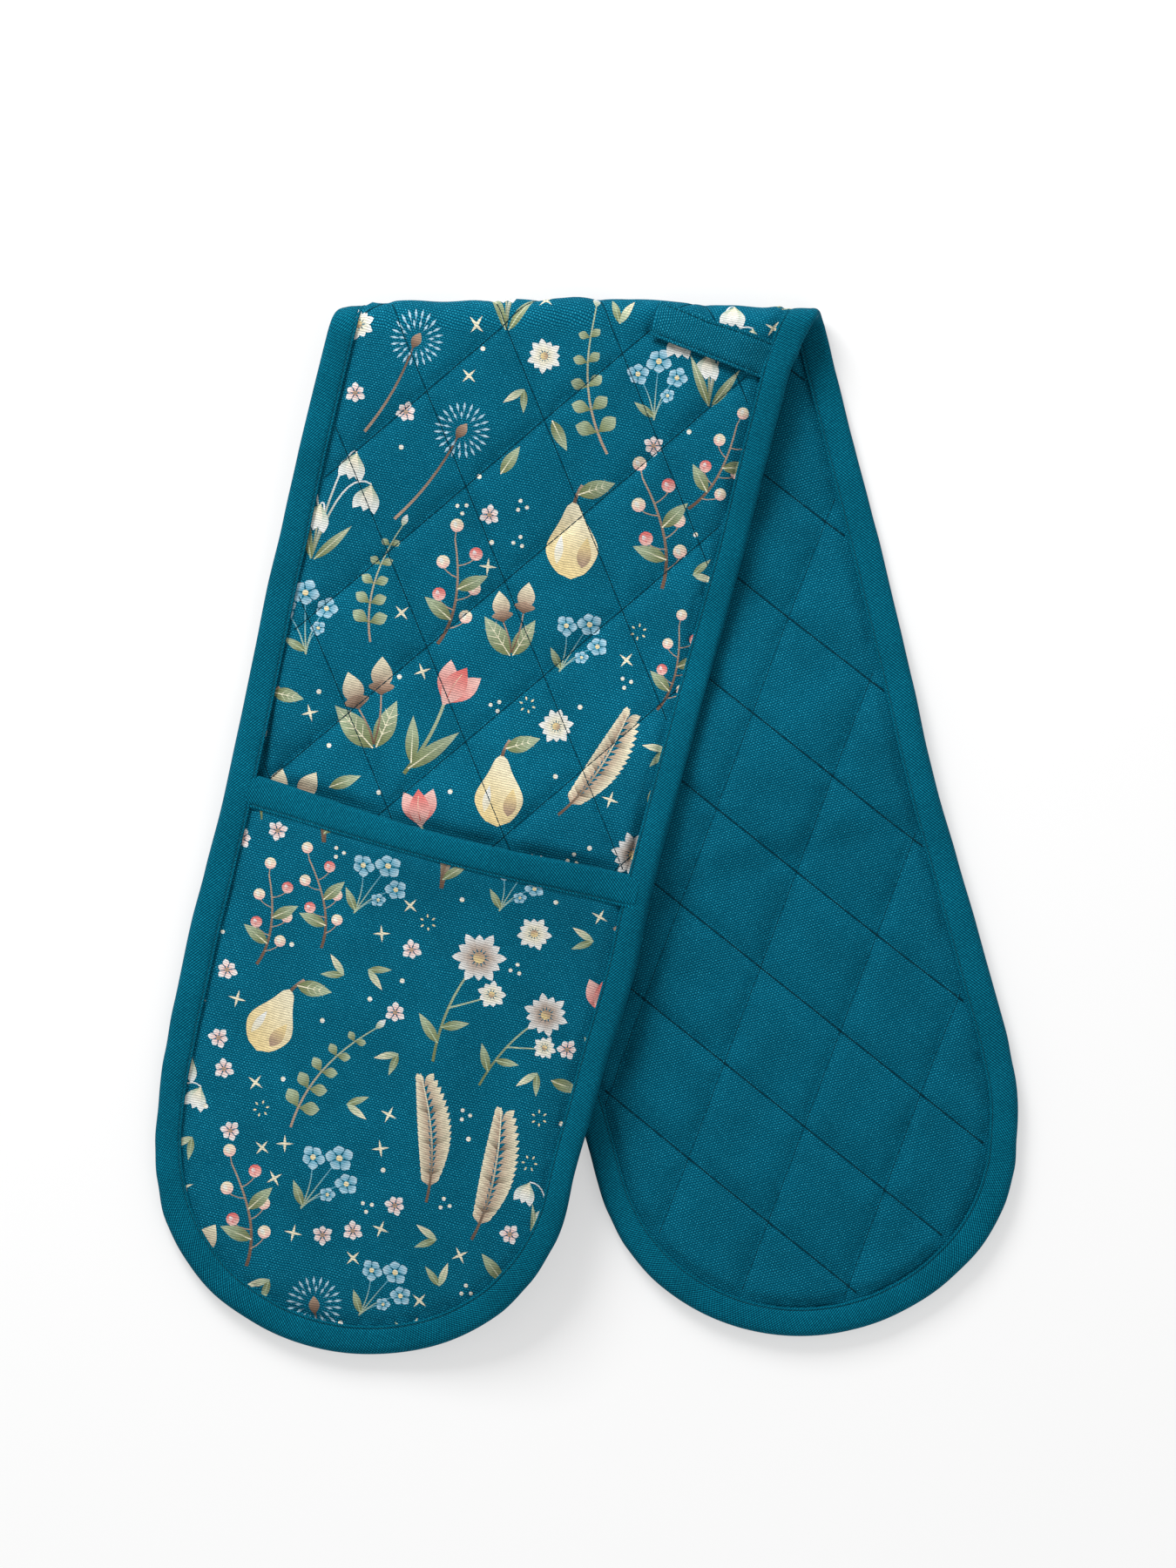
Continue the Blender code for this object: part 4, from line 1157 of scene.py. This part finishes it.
def twill(name, dark, ground, light):
    """Cotton tape with slanting ribs, darker between them as painted shade and with pale flecks on their tops
    as painted highlights.
    """
    finish = Finish(name, 0.86)
    drift = finish.noise(finish.cloth(), 0.10)
    along, across = finish.split(finish.cloth(math.tau / RIB_PITCH * 0.62, math.tau / RIB_PITCH * 0.78))
    slant = finish.wavy(finish.math("ADD", along, across), drift, 6.0)
    rib = finish.ramp(finish.math("SINE", slant), -1.0, 1.0)
    steeper = finish.math("MULTIPLY", along, 1.12)
    picks = finish.math("SINE", finish.math("SUBTRACT", steeper, finish.math("MULTIPLY", across, 0.37)))
    height = finish.math("MULTIPLY_ADD", finish.ramp(picks, -1.0, 1.0), 0.45, rib)
    uneven = finish.ramp(finish.noise(finish.cloth(0.5, 1.4)), 0.35, 0.68, 0.25, 1.0)
    # Painted highlights: pale flecks on the rib tops, uneven along the tape.
    fleck_highlight = finish.math("MULTIPLY", finish.ramp(height, 0.70, 1.35), uneven)
    # Painted shade: dark between the ribs, ground on them.
    base = finish.mix(finish.ramp(height, 0.15, 0.85), dark, ground)
    finish.colour(finish.blotched(finish.mix(fleck_highlight, base, light), 0.05))
    finish.bump(height, 0.14 * MM, 0.7)
    return finish.material


def fibres(name, dark, light, roughness, sheen, scale, detail, bump=0.0):
    """Sewing thread or loose wadding, uneven from place to place."""
    finish = Finish(name, roughness, sheen)
    tuft = finish.noise(finish.node("TexCoord")["Object"], scale, detail)
    finish.colour(finish.mix(tuft, dark, light))
    if bump:
        finish.bump(tuft, bump, 0.6)
    return finish.material


# Cloths by their material slot
CLOTHS = {
    "printed_canvas": canvas("printed_canvas", srgb(0, 46, 64), srgb(0, 90, 115), srgb(60, 182, 210), True),
    "plain_canvas": canvas("plain_canvas", srgb(0, 46, 62), srgb(0, 86, 110), srgb(54, 176, 204)),
    "pocket_lining": canvas("pocket_lining", srgb(120, 112, 96), srgb(204, 196, 174), srgb(226, 220, 204)),
}
LOOP_CANVAS = canvas("loop_canvas", srgb(0, 46, 62), srgb(0, 88, 112), srgb(66, 186, 212))
TWILL_TAPE = twill("twill_tape", srgb(0, 44, 60), srgb(0, 84, 107), srgb(20, 142, 168))
DARK_THREAD = fibres("dark_thread", srgb(4, 34, 44), srgb(12, 62, 76), 0.7, 0.0, 900.0, 2.0)
# Seam thread, its dark end darker than the thread so that the seam beside each tape reads as a dark crevice:
# partly painted shade.
SEAM_THREAD_WITH_PAINTED_SHADE = fibres("seam_thread_painted_shade", srgb(0, 36, 50), srgb(40, 120, 140), 0.7, 0.0, 900.0, 2.0)
WADDING = fibres("wadding", srgb(214, 210, 200), srgb(240, 238, 230), 0.95, 0.1, 450.0, 4.0, 0.4 * MM)


# Pieces of the quilted body


def cloth_piece(name, cut, height, placing, slot, shapes=None):
    """Without shapes it faces down."""
    flat, triangles, tops, area = cut
    if shapes:
        triangles = triangles[:, ::-1]
    piece = mesh_piece(name, placing(*flat.T, height(*flat.T)), triangles, CLOTHS[slot])
    if shapes:
        ink(piece, flat, triangles, tops, shapes)
    cloth_map(piece, flat)
    return piece, {"flat": tuple((flat.max(axis=0) - flat.min(axis=0)).tolist()), "area": area}


def leg_sheet(part, kind, node, cut, height, slot, shapes=None):
    """A cloth of one leg, with its half of the fold."""
    piece, size = cloth_piece(f"{kind}_cloth_{part}", cut, height, place, slot, shapes)
    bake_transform(piece)
    nodes = (f"{node}_{part}", node + "_fold")
    soften(piece, slot, nodes, **size, held="folded", rests_on=["wadding_pad_" + part])


def leg_cover(part, shapes):
    """The printed outer cloth of one leg. The stretch under the pocket is cut coarser."""
    hidden = MOUTH[part] + HIDDEN_START
    seam = leg_edge(part, SEAM_INSET)[3:-3, :2]
    lines = quilting_lines(part, TAPE_REACH, hidden) + [seam[np.abs(seam[:, 1]) < hidden]]
    if part == "front":
        lines += loop_outlines()
    spacing = lambda s: CLOTH_STEP if abs(s) < hidden else HIDDEN_STEP
    cut = cut_cloth(leg_outline(part), lines, shapes, spacing)
    leg_sheet(part, "cover", "outer_cover", cut, printed_side, "printed_canvas", shapes)


def leg_backing(part):
    """The plain cloth on the inner side of one leg."""
    lines = quilting_lines(part, TAPE_REACH, LENGTH["front"]) + [leg_edge(part, SEAM_INSET)[3:-3, :2]]
    cut = cut_cloth(leg_outline(part), lines, [], lambda s: CLOTH_STEP)
    leg_sheet(part, "backing", "backing", cut, lambda a, s: -backing_side(a, s), "plain_canvas")


def filled(name, outline, lines, faces_at, placing):
    """A closed pad between two faces of the pattern, creased along the given lines."""
    spacing = lambda s: CLOTH_STEP if abs(s) < FINE_PAD_RUN else HIDDEN_STEP
    flat, triangles, _, _ = cut_cloth(outline, lines, [], spacing)
    points = np.concatenate([placing(*flat.T, height) for height in faces_at(*flat.T)])
    sides = dict.fromkeys(side for tri in triangles.tolist() for side in zip(tri, tri[1:] + tri[:1]))
    count = len(flat)
    faces = triangles.tolist() + (triangles[:, ::-1] + count).tolist()
    faces += [(end, start, start + count, end + count) for start, end in sides if (end, start) not in sides]
    return mesh_piece(name, points, faces, WADDING)


def leg_wadding(part):
    outline = leg_outline(part, CUT_INSET + WADDING_INSET)
    seam = leg_edge(part, SEAM_INSET, WADDING_SEAM_STEP)[3:-3, :2]

    def faces_at(a, s):
        near_fold = 1 - smooth((np.abs(fold_run(a, s)) - THIN_FOLD_RUN) / THIN_FOLD_FADE)
        inset = CLOTH_THICKNESS * 0.8 + THIN_FOLD_INSET * near_fold
        pressed = WADDING_LOOP_DENT * loop_dent(a, s, WADDING_LOOP_DENT_RUN) if part == "front" else 0.0
        bottom = np.minimum(inset - backing_side(a, s), -THINNEST_WADDING)
        return bottom, np.maximum(printed_side(a, s) - inset - pressed, THINNEST_WADDING)

    lines = quilting_lines(part, SEAM_INSET, LENGTH["front"]) + [seam]
    pad = filled("wadding_pad_" + part, outline, lines, faces_at, place)
    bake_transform(pad)
    soften(pad, "wadding", ("wadding_" + part, "wadding_fold"), fill=0.5)


# Tape

# Face of a sewn tape from its inner edge outwards: (share of the width, height), in tape widths and mm
TAPE_FACE = (
    (0.980, -1.45), (0.988, -0.65), (0.970, -0.16), (0.945, -0.02), (0.912, -0.10), (0.888, -0.80),
    (0.864, -0.12), (0.800, 0.10), (0.680, 0.26), (0.520, 0.30), (0.380, 0.16),
)


def tape_section(width, top, bottom, depth):
    """Sections (inset, height) of a tape folded over an edge, one row for each station along it."""
    face = np.array(TAPE_FACE)
    turn = np.linspace(math.pi / 2, -math.pi / 2, 11)
    round_in = depth * (1 - np.cos(turn) ** 0.9)
    insets = np.concatenate([face[:, 0] * width, round_in, face[::-1, 0] * width])
    top, bottom = top[:, None], bottom[:, None]
    nose = (top + bottom) / 2 + (top - bottom) / 2 * np.sin(turn)
    heights = np.concatenate([top + face[:, 1] * MM, nose, bottom - face[::-1, 1] * MM], axis=1)
    return np.broadcast_to(insets, heights.shape), heights


def tape_piece(name, points, flipped):
    """A tape from its grid of points, mapped along and round its section, and its flat width and length."""
    rows, around = points.shape[:2]
    faces = grid_faces(rows, around, flipped=flipped)
    piece = mesh_piece(name, points.reshape(-1, 3), faces, TWILL_TAPE)
    along = summed(np.linalg.norm(np.diff(points[:, around // 2], axis=0), axis=1))
    across = summed(np.linalg.norm(np.diff(points, axis=1), axis=2).mean(axis=0))
    cloth_map(piece, columns(*np.meshgrid(along, across, indexing="ij")).reshape(-1, 2))
    return piece, (float(across[-1]), float(along[-1]))


def binding_top(s):
    """Height of the edge's stack under the tape, which is thicker from the pocket's mouth on."""
    climb = smooth((past_mouth(s) + RISE_LEAD + RISE_RUN / 2) / (RISE_RUN / 2))
    return SEWN_HALF + TAPE_GAP + (POCKET_SEAM_STACK + mouth_lift(s)) * climb


def gathers(along, turn):
    """Small uneven gathers of a sewn tape, in metres."""
    wave = np.sin(along / 0.0047 + turn) * np.sin(along / 0.019 + 2 * turn) + 0.7 * np.sin(along / 0.0113)
    return TAPE_GATHER * wave


def sheared(edge, insets):
    """Pattern points at given insets from an edge. Near the crest they run parallel to the fold."""
    a, s, in_a, in_s = (edge[:, column, None] for column in range(4))
    near = 1 - smooth((np.abs(s) - SHEAR_START) / SHEAR_RUN)
    return a + in_a * insets, s + in_s * insets - in_a * insets * FOLD_TAN * near


def edge_tape(part):
    """The tape round one leg's edge, with its half of the fold on both sides."""
    edge = leg_edge(part, 0.0, TAPE_STEP)
    along = summed(np.hypot(*np.diff(edge[:, :2], axis=0).T))
    top = binding_top(edge[:, 1]) + SEWN_TAPE + gathers(along, 0.0)
    bottom = gathers(along, 1.3) - BINDING_BOTTOM
    insets, heights = tape_section(TAPE_REACH, top, bottom, EDGE_TAPE_NOSE)
    piece, flat = tape_piece("edge_tape_" + part, place(*sheared(edge, insets), heights), part == "front")
    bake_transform(piece)
    nodes = ("edge_binding_" + part, "edge_binding_fold_left", "edge_binding_fold_right")
    soften(piece, "twill_tape", nodes, flat=flat, held="folded", rests_on=["cover_cloth_" + part])


def mouth_end(part, inset):
    """How far the pocket's mouth reaches from the middle line, less an inset from its cut edge."""
    return float(half_width(np.array(SIGN[part] * MOUTH[part]))) - CUT_INSET - inset


def mouth_fall(part, across):
    """How much lower the pocket's face is behind the mouth's tape than at the mouth."""
    at_mouth, behind_tape = SIGN[part] * MOUTH[part], SIGN[part] * (MOUTH[part] + MOUTH_BINDING_WIDTH)
    return pocket_face(across, behind_tape) - pocket_face(across, at_mouth)


def mouth_tape(part):
    """The tape folded over a pocket's mouth, its ends tucked under the edge tape."""
    end = mouth_end(part, MOUTH_TAPE_TUCK)
    across = np.linspace(-end, end, math.ceil(2 * end / TAPE_STEP) + 1)
    at_mouth = SIGN[part] * MOUTH[part]
    top = pocket_face(across, at_mouth) + MOUTH_TAPE_RISE + gathers(across, 0.7)
    bottom = lining_face(across, at_mouth) - MOUTH_TAPE_RISE + gathers(across, 2.2)
    insets, heights = tape_section(MOUTH_BINDING_WIDTH, top, bottom, MOUTH_TAPE_NOSE)
    heights = heights + mouth_fall(part, across)[:, None] * insets / MOUTH_BINDING_WIDTH
    s = SIGN[part] * (MOUTH[part] - CUT_INSET + insets)
    piece, flat = tape_piece("mouth_tape_" + part, pocket_place(across[:, None], s, heights), part == "rear")
    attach(piece, part + "_half")
    soften(piece, "twill_tape", ["pocket_binding_" + part], flat=flat, held="folded",
           rests_on=["pocket_cloth_" + part])


# Pockets


def pocket(part, shapes):
    """The pocket's printed cloth, lining and wadding."""
    outline, seam = pocket_outline(part), leg_edge(part, SEAM_INSET)[:, :2]
    seam = seam[np.abs(seam[:, 1]) > MOUTH[part] + 3 * MM]
    sheets = (
        ("pocket_cloth_", "pocket_cover_", [seam], shapes, CLOTH_STEP, pocket_print_face, "printed_canvas"),
        ("lining_cloth_", "pocket_lining_", [], [], HIDDEN_STEP, lining_face, "pocket_lining"),
    )
    for name, node, lines, printed, step, height, slot in sheets:
        cut = cut_cloth(outline, lines, printed, lambda s: step)
        piece, size = cloth_piece(name + part, cut, height, pocket_place, slot, printed)
        soften(piece, slot, [node + part], **size, held="laid", rests_on=["pocket_pad_" + part])
        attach(piece, part + "_half")

    def faces_at(a, s):
        top = pocket_face(a, s) - POCKET_COVER_THICKNESS - seam_pull(a, s, PAD_PULL_RUN)
        return lining_face(a, s) + LINING_THICKNESS, top

    pad = filled("pocket_pad_" + part, outline * (POCKET_PAD_SHARE, 1.0), [], faces_at, pocket_place)
    soften(pad, "wadding", ["pocket_wadding_" + part], fill=0.3)
    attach(pad, part + "_half")


# Stitches

# Rings of points round a stitch: share of its length, girth in radii, and height over the cloth in mm
STITCH_RINGS = ((0.0, 0.5, -0.12), (0.12, 1.0, 0.05), (0.88, 1.0, 0.05), (1.0, 0.5, -0.12))
STITCH_CORNERS = ((1, 0), (0, 1), (-1, 0), (0, -1))


def stitch_mesh(name, rows, height, kind, finish, placing=place):
    """Stitches along rows of pattern points. Each is a short thread that dips into the cloth at both ends."""
    period, share, radius = kind
    starts, ends = [], []
    for row in rows:
        along = summed(np.hypot(*np.diff(row, axis=0).T))
        marks = np.arange(0.3 * period, along[-1] - period, period)
        for marks_at, kept in ((marks, starts), (marks + share * period, ends)):
            kept.append(columns(*(np.interp(marks_at, along, line) for line in row.T)))
    start, end = np.concatenate(starts), np.concatenate(ends)
    ahead = end - start
    points = []
    for place_share, girth, lift in STITCH_RINGS:
        centre = start + place_share * ahead
        level = height(*centre.T) + lift * MM
        for across, up in STITCH_CORNERS:
            flat = centre + left_of(ahead) * across * girth * radius
            points.append(placing(*flat.T, level + up * girth * radius))
    one = np.array(grid_faces(len(STITCH_RINGS), 4, closed=True) + [(3, 2, 1, 0), (12, 13, 14, 15)])
    faces = one + len(points) * np.arange(len(start))[:, None, None]
    return mesh_piece(name, np.stack(points, axis=1).reshape(-1, 3), faces.reshape(-1, 4), finish)


def falls_rightwards(row):
    """Whether a row of pattern points runs down to the right, seen from above."""
    ends = place(*row[[0, -1]].T, np.zeros(2))
    return np.prod((ends[1] - ends[0])[:2]) < 0


def quilting(part):
    """The quilting thread on both faces of one leg. On the backing the lines one way get a thin thread, and
    the lines the other way a wide dark thread, which is partly painted shade of their ditches.
    """
    margin = TAPE_REACH - QUILT_UNDER_TAPE
    printed = quilting_lines(part, margin, MOUTH[part] + QUILT_UNDER_POCKET)
    backing = {True: [], False: []}
    for row in quilting_lines(part, margin, LENGTH["front"]):
        backing[bool(falls_rightwards(row))].append(row)

    def under(a, s):
        return -backing_side(a, s) - THREAD_LIFT

    pieces = (
        ("printed", printed, lambda a, s: printed_side(a, s) + THREAD_LIFT, PRINTED_KIND),
        # Wide dark thread: real thread, widened as painted shade of the ditches beside it.
        ("backing", backing[True], under, WIDE_SHADE_THREAD_KIND),
        ("backing_tight", backing[False], under, TIGHT_KIND),
    )
    for side, rows, height, kind in pieces:
        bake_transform(stitch_mesh(f"quilting_{side}_{part}", rows, height, kind, DARK_THREAD))


def edge_stitches(part):
    """The seam that holds the edge tape, seen on both faces."""
    edge = leg_edge(part, 0.0, TAPE_STEP)[3:-3]
    row = np.concatenate(sheared(edge, np.array([[SEAM_PLACE * TAPE_REACH]])), axis=1)
    faces = (
        ("top", lambda a, s: binding_top(s) + SEWN_TAPE - SEAM_DITCH),
        ("under", lambda a, s: SEAM_DITCH - BINDING_BOTTOM),
    )
    for side, height in faces:
        piece = stitch_mesh(f"edge_stitches_{side}_{part}", [row], height, SEAM_KIND, SEAM_THREAD_WITH_PAINTED_SHADE)
        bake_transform(piece)


def mouth_stitches(part):
    end = mouth_end(part, BINDING_WIDTH)
    s = SIGN[part] * (MOUTH[part] - CUT_INSET + SEAM_PLACE * MOUTH_BINDING_WIDTH)

    def height(a, s):
        at_mouth = pocket_face(a, SIGN[part] * MOUTH[part]) + MOUTH_TAPE_RISE
        return at_mouth + mouth_fall(part, a) * SEAM_PLACE - SEAM_DITCH

    rows = [columns(np.linspace(-end, end, 60), s)]
    piece = stitch_mesh("mouth_stitches_" + part, rows, height, SEAM_KIND, SEAM_THREAD_WITH_PAINTED_SHADE, pocket_place)
    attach(piece, part + "_half")


# Hanging loop

# Top of the right half of the tape's section, from its edge to its middle line: share of the half width,
# and height in half thicknesses, with a groove where it is sewn
LOOP_EDGE = (
    (1.0, 0.0), (0.99, 0.9), (0.95, 1.3), (0.88, 1.2), (LOOP_GROOVE, -0.1), (0.74, 1.1), (0.50, 1.1),
    (0.0, 1.15),
)


def loop_place(a, s, n):
    pressed = LOOP_PRESS * (1 - smooth(fold_run(a, s) / 0.014)) * smooth(loop_reach(a, s) / 0.020)
    return place(a, s, n - pressed)


def loop_point(reach, w, n):
    """Place of a point of the loop: reach out from the root, w across it, n above the middle of the body."""
    return loop_place(*loop_spot(reach, w), n)


def loop_lower(reach):
    """Height of the loop's lower layer: pressed flat under the edge tape, then lying on the cloth."""
    climb = LOOP_CLIMB * swell((reach + 0.001) / LOZENGE_SHOULDER)
    return LOOP_ROOT_HEIGHT + climb + LOOP_LIFT * smooth(reach / 0.030)


def loop_upper(reach):
    opened = smooth(reach / 0.014) - (1 - LOOP_END_OPENING_SHARE) * smooth((reach - 0.025) / 0.022)
    return loop_lower(reach) + LOOP_LEAST_OPENING + LOOP_OPENING * opened


def loop_path():
    """The middle of the tape as (reach, height): out from the root, round the end and back above itself."""
    radius = (LOOP_LEAST_OPENING + LOOP_OPENING * LOOP_END_OPENING_SHARE) / 2
    turn_at = LOOP_LENGTH - radius - LOOP_END_THICKNESS
    out = np.linspace(-LOOP_TUCK, turn_at, 36)
    turn = np.linspace(0, math.pi, 9)[1:-1]
    end = columns(turn_at + radius * np.sin(turn), loop_lower(turn_at) + radius * (1 - np.cos(turn)))
    return np.concatenate([columns(out, loop_lower(out)), end, columns(out, loop_upper(out))[::-1]])


def hanging_loop():
    """The doubled tape of the loop, and the two rows of stitches on it."""
    path, edge = loop_path(), np.array(LOOP_EDGE)
    quarters = [edge, edge[-2::-1] * (-1, 1), edge[1:-1] * (-1, -1), edge[-1:0:-1] * (1, -1)]
    w, h = np.concatenate(quarters).T
    thick = (0.20 + 0.22 * smooth((path[:, :1] + 0.001) / 0.006)) * MM
    up_reach, up_rise = left_of(np.gradient(path, axis=0)).T[..., None] * (thick * h)
    points = loop_point(path[:, :1] - up_reach, LOOP_WIDTH / 2 * w, path[:, 1:] - up_rise)
    rows, around = thick.size, w.size
    faces = grid_faces(rows, around, closed=True)
    faces += [tuple(range(around))[::-1], tuple(range((rows - 1) * around, rows * around))]
    piece = mesh_piece("loop_tape", points.reshape(-1, 3), faces, LOOP_CANVAS)
    length = summed(np.hypot(*np.diff(path, axis=0).T))
    cloth_map(piece, [(across * LOOP_WIDTH / 2, along) for along in length for across in w])

    def above(a, s):
        return loop_upper(loop_reach(a, s)) + THREAD_LIFT

    lengthwise = np.linspace(0.0, LOOP_LENGTH - 2 * MM, 24)
    seams = [columns(*loop_spot(lengthwise, side * LOOP_GROOVE * LOOP_WIDTH / 2)) for side in (-1, 1)]
    stitches = stitch_mesh("loop_stitches", seams, above, SEAM_KIND, DARK_THREAD, loop_place)
    bend = [tuple(loop_point(reach, 0.0, loop_lower(0.0)).tolist()) for reach in (-0.001, 0.007)]
    for moving in (piece, stitches):
        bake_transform(moving)
    soften(piece, "twill_tape", ["hanging_loop"], flat=(LOOP_WIDTH, float(length[-1])), held="folded",
           rests_on=["cover_cloth_front"])


# Floor, lights and camera

PHOTO_CENTRE = (0.00372, 0.01695)
PHOTO_HEIGHT_M = 0.648
PHOTO_ROLL = math.radians(-0.855)
CAMERA_HEIGHT = 2.40
SUBJECT_HEIGHT = 0.012
SENSOR = 36.0
SKY_STRENGTH = 0.50
FLOOR_HALF = 6.0
FLOOR_GLOW = 0.45
FLOOR_HEIGHT = -0.0002

# Name, position, size and power of each light
LIGHTS = (
    ("key_light", (-0.64, 1.36, 1.10), 0.8, 34.5),
    ("fill_light", (0.9, -0.8, 1.7), 1.4, 6.0),
)


def add_object(name, data):
    made = bpy.data.objects.new(name, data)
    bpy.context.scene.collection.objects.link(made)
    return made


def add_camera():
    data = bpy.data.cameras.new("camera")
    data.sensor_fit = "VERTICAL"
    data.sensor_height = SENSOR
    data.lens = SENSOR * (CAMERA_HEIGHT - SUBJECT_HEIGHT) / PHOTO_HEIGHT_M
    camera = add_object("camera", data)
    camera.location = (*PHOTO_CENTRE, CAMERA_HEIGHT)
    camera.rotation_euler = (0.0, 0.0, PHOTO_ROLL)
    bpy.context.scene.camera = camera


def add_lights():
    world = bpy.data.worlds.new("studio")
    world.use_nodes = True
    sky = world.node_tree.nodes["Background"].inputs
    sky["Color"].default_value = (1.0, 1.0, 1.0, 1.0)
    sky["Strength"].default_value = SKY_STRENGTH
    bpy.context.scene.world = world
    for name, position, size, power in LIGHTS:
        data = bpy.data.lights.new(name, "AREA")
        data.size, data.energy = size, power
        light = add_object(name, data)
        light.location = position
        light.rotation_euler = (-Vector(position)).to_track_quat("-Z", "Y").to_euler()


def add_floor():
    """A white floor that looks a little brighter to the camera than it is lit."""
    finish = Finish("floor_white", 0.9)
    finish.colour((0.90, 0.90, 0.90))
    seen = finish.math("MULTIPLY", finish.node("LightPath")["Is Camera Ray"], FLOOR_GLOW)
    blend = finish.node("MixShader", {0: seen, 1: finish.shader.outputs[0], 2: finish.node("Emission")[0]})
    finish.link(blend[0], finish.tree.nodes["Material Output"].inputs["Surface"])
    corners = np.array([(-1, -1, 0), (1, -1, 0), (1, 1, 0), (-1, 1, 0)]) * FLOOR_HALF
    floor = mesh_piece("floor", corners, [(0, 1, 2, 3)], finish.material)
    floor.location.z = FLOOR_HEIGHT
    bpy.context.scene.view_settings.view_transform = "Standard"


def main():
    strip_print = scatter(11, -0.262, 0.262)
    builders = (leg_backing, leg_wadding, edge_tape, quilting, edge_stitches, mouth_tape, mouth_stitches)
    for part, low, high in (("front", -0.030, 0.260), ("rear", -0.260, 0.030)):
        leg_cover(part, shapes_near(strip_print, low, high))
        for build in builders:
            build(part)
    pocket("front", scatter(23, MOUTH["front"] - 0.010, LENGTH["front"] + 0.030))
    pocket("rear", scatter(37, -LENGTH["rear"] - 0.010, -MOUTH["rear"] + 0.030))
    hanging_loop()
    add_lights()
    add_floor()
    add_camera()


main()
